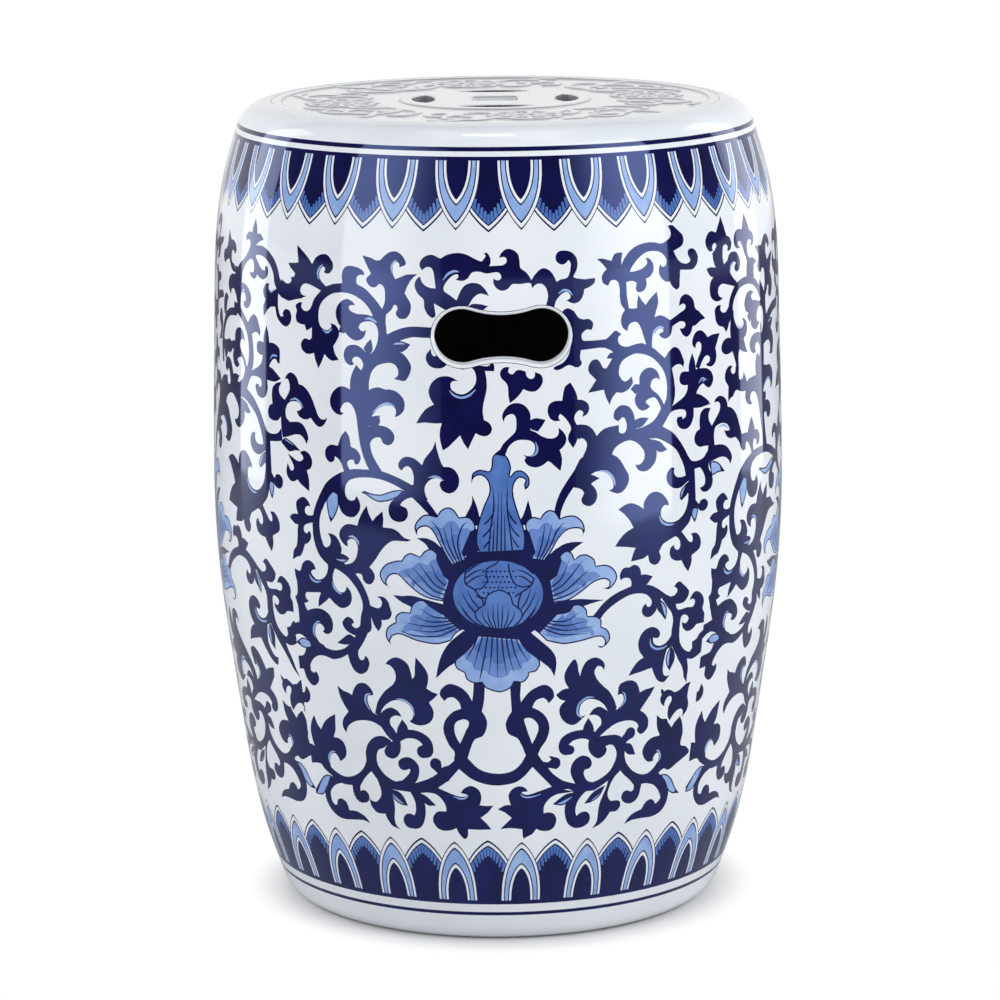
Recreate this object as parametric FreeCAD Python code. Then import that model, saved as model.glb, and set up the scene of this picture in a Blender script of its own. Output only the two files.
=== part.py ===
"""Ceramic garden stool: a hollow barrel with two peanut-shaped hand holes and a coin-pierced seat.

The clay pieces are made apart and luted together with slip before the glaze firing:
the lower wall with its foot, the upper wall with its shoulder, the pierced seat disc
that drops into the shoulder's rebate, and the base ring that sits inside the foot.
Millimetres, +Z up. The origin is on the floor at the stool's axis, and -Y is the front.
"""
import FreeCAD
import Part
import math
import os

from FreeCAD import Vector

os.makedirs("parts", exist_ok=True)

# Outline of the barrel: the belly, and how far the wall lies inside it at named heights
overall_height = 460.0
belly_radius = 163.6
belly_height = 246.0
foot_line_inset = 39.6          # where the line of the wall would meet the floor
ankle_inset = 26.0
ankle_height = 40.0
calf_inset = 11.4
calf_height = 120.0
chest_inset = 2.1
chest_drop = 120.0              # below the top
neck_inset = 9.2
neck_drop = 40.0                # below the top
shoulder_round = 18.0
foot_round = 14.6
inner_round = 10.0

# Clay thickness and the slip joints between the pieces
wall_thickness = 8.5
shoulder_thickness = 10.0
slip_gap = 0.3
lip_height = 8.0
lip_thickness = 4.0

# Seat disc and the rebate that carries it
seat_radius = 127.5
seat_thickness = 12.0
seat_ledge_width = 14.0
seat_edge_round = 1.2
crown_margin = 15.0             # from the seat to where the line of the wall would meet the top
border_width = 5.0
field_depth = 1.0
coin_radius = 54.0

# Piercing of the seat: a square hole between four lens-shaped slots
coin_square_side = 25.0
coin_square_round = 2.0
coin_slot_length = 41.0
coin_slot_width = 13.0
coin_slot_distance = 40.8
coin_slot_count = 4

# Hand holes, front and back: two round lobes joined over a waist
hand_hole_height = 348.5
hand_hole_lobe_radius = 15.0
hand_hole_lobe_offset = 21.2
hand_hole_waist_half = 11.7
hand_hole_edge_round = 2.2

# Foot and the base ring inside it
foot_rim_radius = 100.0         # inner edge of the ring that stands on the floor
foot_rim_height = 10.0
base_ring_seat = 15.0           # how far the base ring lies on the foot
base_ring_thickness = 9.0
base_opening_radius = 68.0
base_edge_round = 3.0

# How far an edge may lie from a named place and still be taken for it
flat_slack = 0.5


def point(radius, height):
    """A point of the half section, which is drawn in the XZ plane."""
    return Vector(radius, 0, height)


def smooth_edge(stations, start_tangent=None, end_tangent=None):
    """One smooth edge through (radius, height) stations, upright at the named end."""
    points = [point(radius, height) for radius, height in stations]
    curve = Part.BSplineCurve()
    curve.interpolate(
        Points=points,
        InitialTangent=start_tangent or points[1] - points[0],
        FinalTangent=end_tangent or points[-1] - points[-2],
    )
    return curve.toShape()


def line(start, end):
    """A straight edge between two (radius, height) stations."""
    return Part.makeLine(point(*start), point(*end))


def spin(edges):
    """Turns a closed half section round the stool's axis."""
    section = Part.Face(Part.Wire(edges))
    return section.revolve(Vector(0, 0, 0), Vector(0, 0, 1), 360)


def ring_edges(shape, radius, height):
    """The full circles of a solid that lie at one radius and height."""
    found = []
    for edge in shape.Edges:
        box = edge.BoundBox
        flat = box.ZLength < flat_slack and abs(box.ZMin - height) < flat_slack
        if flat and abs(box.XMax - radius) < flat_slack and box.XLength > radius:
            found.append(edge)
    return found


def round_ring(shape, radius, height, size):
    """Rounds the circle of a solid at one radius and height."""
    return shape.makeFillet(size, ring_edges(shape, radius, height))


def foot_line_radius():
    """Where the line of the wall would meet the floor."""
    return belly_radius - foot_line_inset


def crown_line_radius():
    """Where the line of the wall would meet the top, outside the seat."""
    return seat_radius + crown_margin


def lower_stations(inset):
    """The wall from the floor to the belly, moved in by an inset."""
    return [
        (foot_line_radius() - inset, 0.0),
        (belly_radius - ankle_inset - inset, ankle_height),
        (belly_radius - calf_inset - inset, calf_height),
        (belly_radius - inset, belly_height),
    ]


def upper_stations(inset):
    """The wall from the belly to the crown, moved in by an inset."""
    return [
        (belly_radius - inset, belly_height),
        (belly_radius - chest_inset - inset, overall_height - chest_drop),
        (belly_radius - neck_inset - inset, overall_height - neck_drop),
        (crown_line_radius() - inset, overall_height),
    ]


def wall_body(inset, floor, top):
    """A solid of revolution inside the wall's line, between two heights."""
    upright = Vector(0, 0, 1)
    below = smooth_edge(lower_stations(inset), end_tangent=upright)
    above = smooth_edge(upper_stations(inset), start_tangent=upright)
    edges = [
        line((0, 0), (foot_line_radius() - inset, 0)),
        below,
        above,
        line((crown_line_radius() - inset, overall_height), (0, overall_height)),
        line((0, overall_height), (0, 0)),
    ]
    body = spin(edges)
    slab = Part.makeCylinder(2 * belly_radius, top - floor, point(0, floor))
    return body.common(slab)


def barrel_skin():
    """The outside of the whole barrel, with its round shoulder and foot."""
    body = wall_body(0.0, 0.0, overall_height)
    body = round_ring(body, crown_line_radius(), overall_height, shoulder_round)
    return round_ring(body, foot_line_radius(), 0.0, foot_round)


def barrel_hollow():
    """The hollow inside the wall, with rounded corners at the shoulder and foot."""
    floor = foot_rim_height
    top = overall_height - seat_thickness - shoulder_thickness
    hollow = wall_body(wall_thickness, floor, top)
    top_rim = [edge for edge in hollow.Edges if edge.BoundBox.ZMin > top - flat_slack]
    return hollow.makeFillet(inner_round, top_rim)


def hand_hole_outline():
    """Closed outline of the hand hole in the XZ plane: four arcs that meet smoothly."""
    lobe = hand_hole_lobe_radius
    offset = hand_hole_lobe_offset
    waist = hand_hole_waist_half
    hollow = (offset ** 2 + waist ** 2 - lobe ** 2) / (2 * (lobe - waist))
    lean = math.atan2(waist + hollow, offset)
    reach = Vector(-lobe * math.cos(lean), 0, lobe * math.sin(lean))
    right = Vector(offset, 0, 0)
    top_right = right + reach
    bottom_right = Vector(top_right.x, 0, -top_right.z)
    top_left = Vector(-top_right.x, 0, top_right.z)
    bottom_left = Vector(-top_right.x, 0, -top_right.z)
    edges = [
        Part.Arc(top_right, Vector(offset + lobe, 0, 0), bottom_right).toShape(),
        Part.Arc(bottom_right, Vector(0, 0, -waist), bottom_left).toShape(),
        Part.Arc(bottom_left, Vector(-offset - lobe, 0, 0), top_left).toShape(),
        Part.Arc(top_left, Vector(0, 0, waist), top_right).toShape(),
    ]
    return Part.Wire(edges)


def hand_hole_cutter():
    """A straight bar with the hand hole's outline, right through front and back."""
    reach = skin_radius(hand_hole_height) + 2 * wall_thickness
    outline = hand_hole_outline()
    outline.translate(Vector(0, -reach, hand_hole_height))
    return Part.Face(outline).extrude(Vector(0, 2 * reach, 0))


def skin_radius(height):
    """Radius of the barrel's outside at one height."""
    ray = Part.makeLine(point(0, height), point(2 * belly_radius, height))
    return barrel_skin().common(ray).BoundBox.XMax


def hand_hole_rims(shape):
    """The outer rims of the hand holes, which are softened before the glaze."""
    half_height = hand_hole_lobe_radius + flat_slack
    half_width = hand_hole_lobe_offset + hand_hole_lobe_radius + flat_slack
    found = []
    for edge in shape.Edges:
        box = edge.BoundBox
        across = max(abs(box.XMin), abs(box.XMax)) < half_width
        low = box.ZMin > hand_hole_height - half_height
        high = box.ZMax < hand_hole_height + half_height
        if not (across and low and high):
            continue
        middle = edge.valueAt((edge.FirstParameter + edge.LastParameter) / 2)
        skin = skin_radius(middle.z)
        if abs(math.hypot(middle.x, middle.y) - skin) < flat_slack:
            found.append(edge)
    return found


def seat_rebate():
    """The step in the shoulder that takes the seat disc, and the opening under it."""
    rebate = Part.makeCylinder(
        seat_radius, seat_thickness, point(0, overall_height - seat_thickness))
    mouth_radius = seat_radius - seat_ledge_width
    mouth = Part.makeCylinder(
        mouth_radius, seat_thickness + 2 * shoulder_thickness,
        point(0, overall_height - seat_thickness - 2 * shoulder_thickness))
    return rebate.fuse(mouth)


def joint_radius():
    """Radius of the step in the joint at the belly, where the lip meets the outer half."""
    return belly_radius - wall_thickness + lip_thickness


def make_upper_wall():
    """Upper half of the barrel: shoulder, rebate for the seat, and the two hand holes."""
    wall = barrel_skin().cut(barrel_hollow())
    above = Part.makeCylinder(
        2 * belly_radius, overall_height - belly_height, point(0, belly_height))
    wall = wall.common(above).cut(seat_rebate())
    step = Part.makeCylinder(
        joint_radius() + slip_gap, lip_height + slip_gap, point(0, belly_height))
    wall = wall.cut(step).cut(hand_hole_cutter())
    return wall.makeFillet(hand_hole_edge_round, hand_hole_rims(wall))


def make_lower_wall():
    """Lower half of the barrel: the foot ring it stands on and the lip of the belly joint."""
    wall = barrel_skin().cut(barrel_hollow())
    below = Part.makeCylinder(2 * belly_radius, belly_height)
    wall = wall.common(below)
    wall = wall.cut(Part.makeCylinder(foot_rim_radius, foot_rim_height))
    lip = Part.makeCylinder(joint_radius(), lip_height, point(0, belly_height))
    bore = Part.makeCylinder(
        joint_radius() - lip_thickness, lip_height + 2, point(0, belly_height - 1))
    return wall.fuse(lip.cut(bore)).removeSplitter()


def coin_slot():
    """One lens-shaped slot of the coin, lying across the +Y side of the square."""
    half_length = coin_slot_length / 2
    half_width = coin_slot_width / 2
    left = Vector(-half_length, coin_slot_distance - half_width / 3, 0)
    right = Vector(half_length, coin_slot_distance - half_width / 3, 0)
    outer = Vector(0, coin_slot_distance + half_width, 0)
    inner = Vector(0, coin_slot_distance - half_width, 0)
    edges = [
        Part.Arc(left, outer, right).toShape(),
        Part.Arc(right, inner, left).toShape(),
    ]
    return Part.Face(Part.Wire(edges)).extrude(Vector(0, 0, 3 * seat_thickness))


def coin_cutters():
    """The square hole and the slots round it, as bars that pass through the seat."""
    side = coin_square_side
    height = 3 * seat_thickness
    square = Part.makeBox(side, side, height, Vector(-side / 2, -side / 2, 0))
    uprights = [edge for edge in square.Edges if edge.BoundBox.ZLength > height / 2]
    cutters = [square.makeFillet(coin_square_round, uprights)]
    for number in range(coin_slot_count):
        slot = coin_slot()
        slot.rotate(Vector(0, 0, 0), Vector(0, 0, 1), number * 360.0 / coin_slot_count)
        cutters.append(slot)
    for cutter in cutters:
        cutter.translate(Vector(0, 0, overall_height - 2 * seat_thickness))
    return cutters


def make_seat_disc():
    """Pressed seat disc: plain border, sunken field for the relief, pierced coin."""
    radius = seat_radius - slip_gap
    floor = overall_height - seat_thickness
    disc = Part.makeCylinder(radius, seat_thickness, point(0, floor))
    disc = round_ring(disc, radius, overall_height, seat_edge_round)
    field = Part.makeCylinder(
        radius - border_width, field_depth, point(0, overall_height - field_depth))
    coin = Part.makeCylinder(coin_radius, field_depth, point(0, overall_height - field_depth))
    disc = disc.cut(field.cut(coin))
    for cutter in coin_cutters():
        disc = disc.cut(cutter)
    return disc


def make_base_ring():
    """Flat ring inside the foot, with the large opening that lets the kiln's heat in."""
    radius = foot_rim_radius + base_ring_seat
    ring = Part.makeCylinder(radius, base_ring_thickness, point(0, foot_rim_height))
    opening = Part.makeCylinder(
        base_opening_radius, base_ring_thickness, point(0, foot_rim_height))
    ring = ring.cut(opening)
    ring = round_ring(ring, base_opening_radius, foot_rim_height, base_edge_round)
    top = foot_rim_height + base_ring_thickness
    return round_ring(ring, base_opening_radius, top, base_edge_round)


pieces = {
    "lower_wall": make_lower_wall(),
    "upper_wall": make_upper_wall(),
    "seat_disc": make_seat_disc(),
    "base_ring": make_base_ring(),
}

for name, shape in pieces.items():
    shape.exportStep("parts/" + name + ".step")
    print(name, "solids", len(shape.Solids), "valid", shape.isValid(),
          "volume cm3", round(shape.Volume / 1000, 1))
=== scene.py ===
"""Ceramic garden stool: glazed barrel with a painted lotus scroll, and a pierced, moulded seat.

Shapes are worked out in millimetres and scaled to metres when a mesh is made.
The barrel's painting is a mesh of coloured areas, drawn flat on the unrolled wall:
x runs round the wall at 2.85 mm for each degree, with 0 at the front, and z is the height.
"""
import math

import bmesh
import bpy
import numpy as np
from mathutils import Matrix, Vector
from mathutils.geometry import delaunay_2d_cdt


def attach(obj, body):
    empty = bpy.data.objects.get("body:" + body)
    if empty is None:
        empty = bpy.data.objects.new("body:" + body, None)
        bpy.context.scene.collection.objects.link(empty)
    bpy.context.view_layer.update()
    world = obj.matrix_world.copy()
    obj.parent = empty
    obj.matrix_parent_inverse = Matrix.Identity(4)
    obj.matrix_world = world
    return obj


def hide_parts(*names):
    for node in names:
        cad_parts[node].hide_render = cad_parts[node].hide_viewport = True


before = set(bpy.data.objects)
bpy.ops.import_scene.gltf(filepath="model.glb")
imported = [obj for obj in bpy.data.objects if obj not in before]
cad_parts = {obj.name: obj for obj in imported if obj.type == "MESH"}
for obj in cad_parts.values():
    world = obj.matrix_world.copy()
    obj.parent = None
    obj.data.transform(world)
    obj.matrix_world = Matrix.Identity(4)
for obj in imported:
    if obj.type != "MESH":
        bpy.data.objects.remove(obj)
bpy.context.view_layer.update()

MM = 0.001
SPREAD = 2.85                   # mm of the flat drawing for each degree round the wall
QUARTER = 90 * SPREAD
HALF = 180 * SPREAD

# Paints of the barrel, as the numbers of its material slots
WHITE = 0
DARK = 1
MID = 2
PALE = 3
WASH = 4                        # between the mid blue and the pale blue
SHADED_CLAY = 5                        # bare clay, without any paint; its colour is darkened as painted shade of the hollow

C = "corner"                    # marks a point of an outline as a sharp corner


# Outlines of the painted shapes

THINNEST_ROUND_END = 0.2        # half the width of a brush stroke, in mm


def through(points, closed=False, pieces=6):
    """A smooth line through points, by Catmull and Rom's rule."""
    count = len(points)
    rows = np.array(points, float)
    line = []
    for number in range(count if closed else count - 1):
        if closed:
            picks = [number - 1, number, (number + 1) % count, (number + 2) % count]
        else:
            picks = [max(number - 1, 0), number, number + 1, min(number + 2, count - 1)]
        a, b, c, d = rows[picks]
        for step in range(pieces):
            t = step / pieces
            bend = (2 * a - 5 * b + 4 * c - d) * t ** 2 + (3 * b - a - 3 * c + d) * t ** 3
            line.append(0.5 * (2 * b + (c - a) * t + bend))
    if not closed:
        line.append(rows[-1])
    return np.array(line)


def thinned(line, slack=0.085):
    """The line without the points that lie nearly straight between their neighbours."""
    if len(line) < 3:
        return line
    start, end = line[0], line[-1]
    run = end - start
    length = math.hypot(*run)
    if length < 1e-6:
        off = np.hypot(*(line - start).T)
    else:
        off = np.abs((line[:, 0] - start[0]) * run[1] - (line[:, 1] - start[1]) * run[0]) / length
    worst = int(off.argmax())
    if off[worst] <= slack:
        return line[[0, -1]]
    return np.vstack([thinned(line[:worst + 1], slack)[:-1], thinned(line[worst:], slack)])


def leaf(paint, *points):
    """A closed shape through (x, z) points. A point that ends in C is a sharp corner."""
    corners = [number for number, point in enumerate(points) if len(point) > 2]
    flat = [point[:2] for point in points]
    if not corners:
        line = through(flat, closed=True)
        return paint, thinned(np.vstack([line, line[:1]]))[:-1]
    count = len(points)
    outline = []
    for first, last in zip(corners, corners[1:] + [corners[0] + count]):
        run = [flat[number % count] for number in range(first, last + 1)]
        if len(run) > 2:
            outline.extend(thinned(through(run))[:-1])
        else:
            outline.append(np.array(run[0], float))
    return paint, np.array(outline)


def stroke(paint, *points):
    """A brush stroke along (x, z, width) points. An end with some width is round."""
    line = through(points)
    ahead = np.gradient(line[:, :2], axis=0)
    ahead /= np.hypot(*ahead.T)[:, None] + 1e-9
    side = np.column_stack([-ahead[:, 1], ahead[:, 0]])
    half = np.maximum(line[:, 2:3], 0) / 2
    left = thinned(line[:, :2] + side * half)
    right = thinned((line[:, :2] - side * half)[::-1])
    outline = list(left)
    outline += round_end(line[-1], left[-1])
    outline += list(right)
    outline += round_end(line[0], right[-1])
    return paint, np.array(outline)


def round_end(middle, start, steps=6):
    """Points of the half circle that closes a brush stroke. A thin end stays pointed."""
    size = middle[2] / 2
    if size < THINNEST_ROUND_END:
        return []
    lean = math.atan2(start[1] - middle[1], start[0] - middle[0])
    turns = [lean - math.pi * step / steps for step in range(1, steps)]
    return [middle[:2] + size * np.array([math.cos(turn), math.sin(turn)]) for turn in turns]


def dot(paint, x, z, size):
    """A round dot."""
    turns = np.arange(8) * math.tau / 8
    return paint, np.column_stack([x + size / 2 * np.cos(turns), z + size / 2 * np.sin(turns)])


def moved(shape, right, up):
    """The same shape at another place."""
    paint, outline = shape
    return paint, outline + np.array([right, up])


# The two borders

LAPPET_CURVE = 2.6              # how full the curved sides of a lappet are
FRINGE_HALF_WIDTH = 15.9        # of the lappet that the dashes start from
FRINGE_LENGTH = 4.0
FRINGE_SPACING = 2.05

# The nested arches of a lappet: paint, distance in from the tip, half width, share of bluntness
WIDE_LAPPET = (
    (DARK, 0, 18.8, 1),
    (WHITE, 1.25, 18.1, 1),
    (DARK, 3.2, 17.2, 1),
    (MID, 4.3, 16.4, 1),
    (DARK, 5.2, 15.6, 1),
)
NARROW_LAPPET = (
    (DARK, 0, 13.6, 1),
    (WHITE, 1.2, 13.0, 0.94),
    (DARK, 3.6, 11.6, 0.94),
    (PALE, 4.8, 10.9, 0.92),
    (DARK, 12.9, 8.7, 0.88),
    (WHITE, 13.9, 8.0, 0.88),
    (DARK, 16.1, 6.6, 0.85),
)


def arch(paint, middle, foot, tip, half_width, blunt):
    """A pointed lappet from its foot to its tip, with curved sides."""
    part = np.linspace(0, 1, 15) ** 1.7
    width = half_width * (1 - (1 - part) ** LAPPET_CURVE) ** blunt
    height = tip + (foot - tip) * part
    right = np.column_stack([middle + width, height])
    left = np.column_stack([middle - width, height])[::-1]
    return paint, np.vstack([right, left[:-1]])


def fringe(middle, foot, tip, blunt):
    """Short blue dashes that point inwards from the edge of a wide lappet."""
    dashes = []
    way = math.copysign(FRINGE_LENGTH, foot - tip)
    for number in range(-6, 7):
        side = number * FRINGE_SPACING
        share = min(abs(side) / FRINGE_HALF_WIDTH, 0.95) ** (1 / blunt)
        part = 1 - (1 - share) ** (1 / LAPPET_CURVE)
        height = tip + (foot - tip) * part
        lean = side / FRINGE_HALF_WIDTH * 0.45
        top = (middle + side - lean * FRINGE_LENGTH, height + way)
        dashes.append(stroke(MID, (middle + side, height, 1.8), (*top, 1.4)))
    return dashes


def border(first, count, spacing, foot, tip, wide_tip, blunt):
    """A row of lappets that hang from a line or stand on it, narrow ones over wide ones."""
    way = math.copysign(1, foot - tip)
    shapes = []
    for number in range(-1, count + 1):
        middle = first + (number + 0.5) * spacing
        for paint, inset, half_width, share in WIDE_LAPPET:
            top = wide_tip + way * inset
            shapes.append(arch(paint, middle, foot, top, half_width, blunt * share))
        shapes.extend(fringe(middle, foot, wide_tip + way * 5.0, blunt))
    for number in range(-1, count + 1):
        middle = first + number * spacing
        for paint, inset, half_width, share in NARROW_LAPPET:
            shapes.append(arch(paint, middle, foot, tip + way * inset, half_width, blunt * share))
    return shapes


def band(paint, low, high):
    """A line all round the barrel, drawn somewhat past the ends of the sheet."""
    edge = QUARTER + 40
    steps = np.linspace(-edge, edge, 70)
    top = np.column_stack([steps, np.full(len(steps), high)])
    bottom = np.column_stack([steps[::-1], np.full(len(steps), low)])
    return paint, np.vstack([bottom, top])


def borders():
    """Both lappet borders and the lines that close them."""
    top_step = HALF / 14
    bottom_step = HALF / 12
    top = border(
        14.0 - QUARTER - top_step, 18, top_step, foot=443.5, tip=405.6, wide_tip=404.6, blunt=0.97)
    bottom = border(
        13.0 - QUARTER - bottom_step, 16, bottom_step, foot=24.5, tip=62.9, wide_tip=64.2, blunt=0.8)
    lines = [
        band(DARK, 442.0, 444.0),
        band(WHITE, 444.0, 446.7),
        band(DARK, 446.7, 449.0),
        band(DARK, 24.0, 26.5),
        band(WHITE, 19.0, 24.0),
        band(DARK, 16.9, 19.0),
    ]
    return top + bottom + lines


# The painted lotus

POD_HEIGHT = 207.4
SHORTEST_RUN = 7                # mm of a wash's edge that is kept
PETAL_EDGE = 0.8                # width of the dark line round a petal
DEEPER_WASHES = ((0.8, WASH), (0.58, MID))      # share of the petal that each one covers


def oval(paint, middle, half_width, half_height, count):
    """A level oval at the height of the pod."""
    turns = np.arange(count) * math.tau / count
    across = middle + half_width * np.cos(turns)
    return paint, np.column_stack([across, POD_HEIGHT + half_height * np.sin(turns)])


def lotus_sepals():
    """Dark leaves that show between the petals, and the dark ring round the seed pod."""
    return [
        oval(DARK, 0, 31.5, 26.0, 32),
        leaf(DARK, (-20, 246, C), (-17.5, 252), (-14.5, 258), (-14.2, 262.8, C), (-11.5, 256),
             (-9, 246, C)),
        leaf(DARK, (9, 246, C), (13, 251), (16, 260, C), (17.5, 254), (19, 246, C)),
        leaf(DARK, (-45, 238.2, C), (-39, 238.3), (-33.5, 235.5), (-27, 229), (-21, 221, C),
             (-28, 205, C), (-31, 212), (-34.5, 222), (-38, 232, C), (-40.5, 235.5)),
        leaf(DARK, (46.5, 235.2, C), (40, 235.6), (34, 234), (27, 229), (20, 221, C), (28, 205, C),
             (31, 212), (36, 224), (38, 229, C), (42, 232.5)),
        leaf(DARK, (-59.5, 205.5, C), (-54, 205.3), (-48, 205.8), (-38, 203.5), (-27, 201, C),
             (-27, 195, C), (-38, 196), (-48, 199), (-55, 202)),
        leaf(DARK, (59, 201.8, C), (52, 202.6), (43, 203.5), (33, 202.5), (27, 201, C), (26, 194, C),
             (36, 196), (46, 199), (54, 201)),
        leaf(DARK, (-36.5, 159, C), (-34.5, 168), (-32, 174), (-28, 180), (-20, 187, C), (-9, 186, C),
             (-14, 178), (-22, 170.5), (-29, 166)),
        leaf(DARK, (31, 159.8, C), (32, 168), (30, 174), (24, 180), (16, 187, C), (8, 186, C),
             (14, 177), (22, 170), (28, 165)),
        leaf(DARK, (-22, 242), (-16, 244.5), (-11, 243), (-11, 232), (-20, 229), (-24, 234)),
        leaf(DARK, (21, 241), (16, 243.5), (12, 242), (12, 232), (19, 229), (22, 234)),
    ]


def petal(outline, veins, root=None, shade=MID):
    """A petal with a dark edge and dark veins. Its wash is deeper towards the root."""
    edge = leaf(DARK, *outline)[1]
    wash = shrunk(edge, PETAL_EDGE)
    shapes = [(DARK, edge)]
    if len(wash) > 2:
        shapes.append((shade, wash))
    if root:
        for part, deeper in DEEPER_WASHES:
            closer = np.array(root) + (wash - np.array(root)) * part
            shapes.append((deeper, closer[inside(closer, wash)]))
    for vein in veins:
        shapes.append(stroke(DARK, *vein))
    return shapes


def inside(points, outline):
    """Which points lie inside a closed outline, by how often it winds round them."""
    x, y = points[:, :1], points[:, 1:]
    x0, y0 = outline.T
    x1, y1 = np.roll(outline, -1, axis=0).T
    left = (x1 - x0) * (y - y0) - (x - x0) * (y1 - y0)
    up = (y0 <= y) & (y1 > y) & (left > 0)
    down = (y0 > y) & (y1 <= y) & (left < 0)
    return (up.sum(axis=1) - down.sum(axis=1)) != 0


def line_length(line):
    """The length of a line of points."""
    return np.hypot(*np.diff(line, axis=0).T).sum()


def shrunk(edge, inset):
    """A closed outline moved inwards, without the thin ends that it would leave."""
    following = np.roll(edge, -1, axis=0)
    ahead = following - np.roll(edge, 1, axis=0)
    ahead /= np.hypot(*ahead.T)[:, None] + 1e-9
    area = np.sum(edge[:, 0] * following[:, 1] - edge[:, 1] * following[:, 0])
    side = np.column_stack([-ahead[:, 1], ahead[:, 0]]) * math.copysign(inset, area)
    moved_in = edge + side
    run = following - edge
    along = moved_in[:, None, :] - edge[None, :, :]
    part = (along * run).sum(axis=2) / np.maximum((run ** 2).sum(axis=1), 1e-9)
    part = np.clip(part, 0, 1)
    off = np.hypot(*np.moveaxis(along - run * part[:, :, None], 2, 0)).min(axis=1)
    clear = off > inset * 0.9
    if clear.all():
        return moved_in
    start = int(np.argmin(clear))
    turned_round = np.roll(np.arange(len(edge)), -start)
    runs = np.split(turned_round, np.flatnonzero(np.diff(clear[turned_round])) + 1)
    kept = [run for run in runs if clear[run[0]] and line_length(moved_in[run]) > SHORTEST_RUN]
    return moved_in[np.concatenate(kept)] if kept else moved_in[:0]


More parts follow.
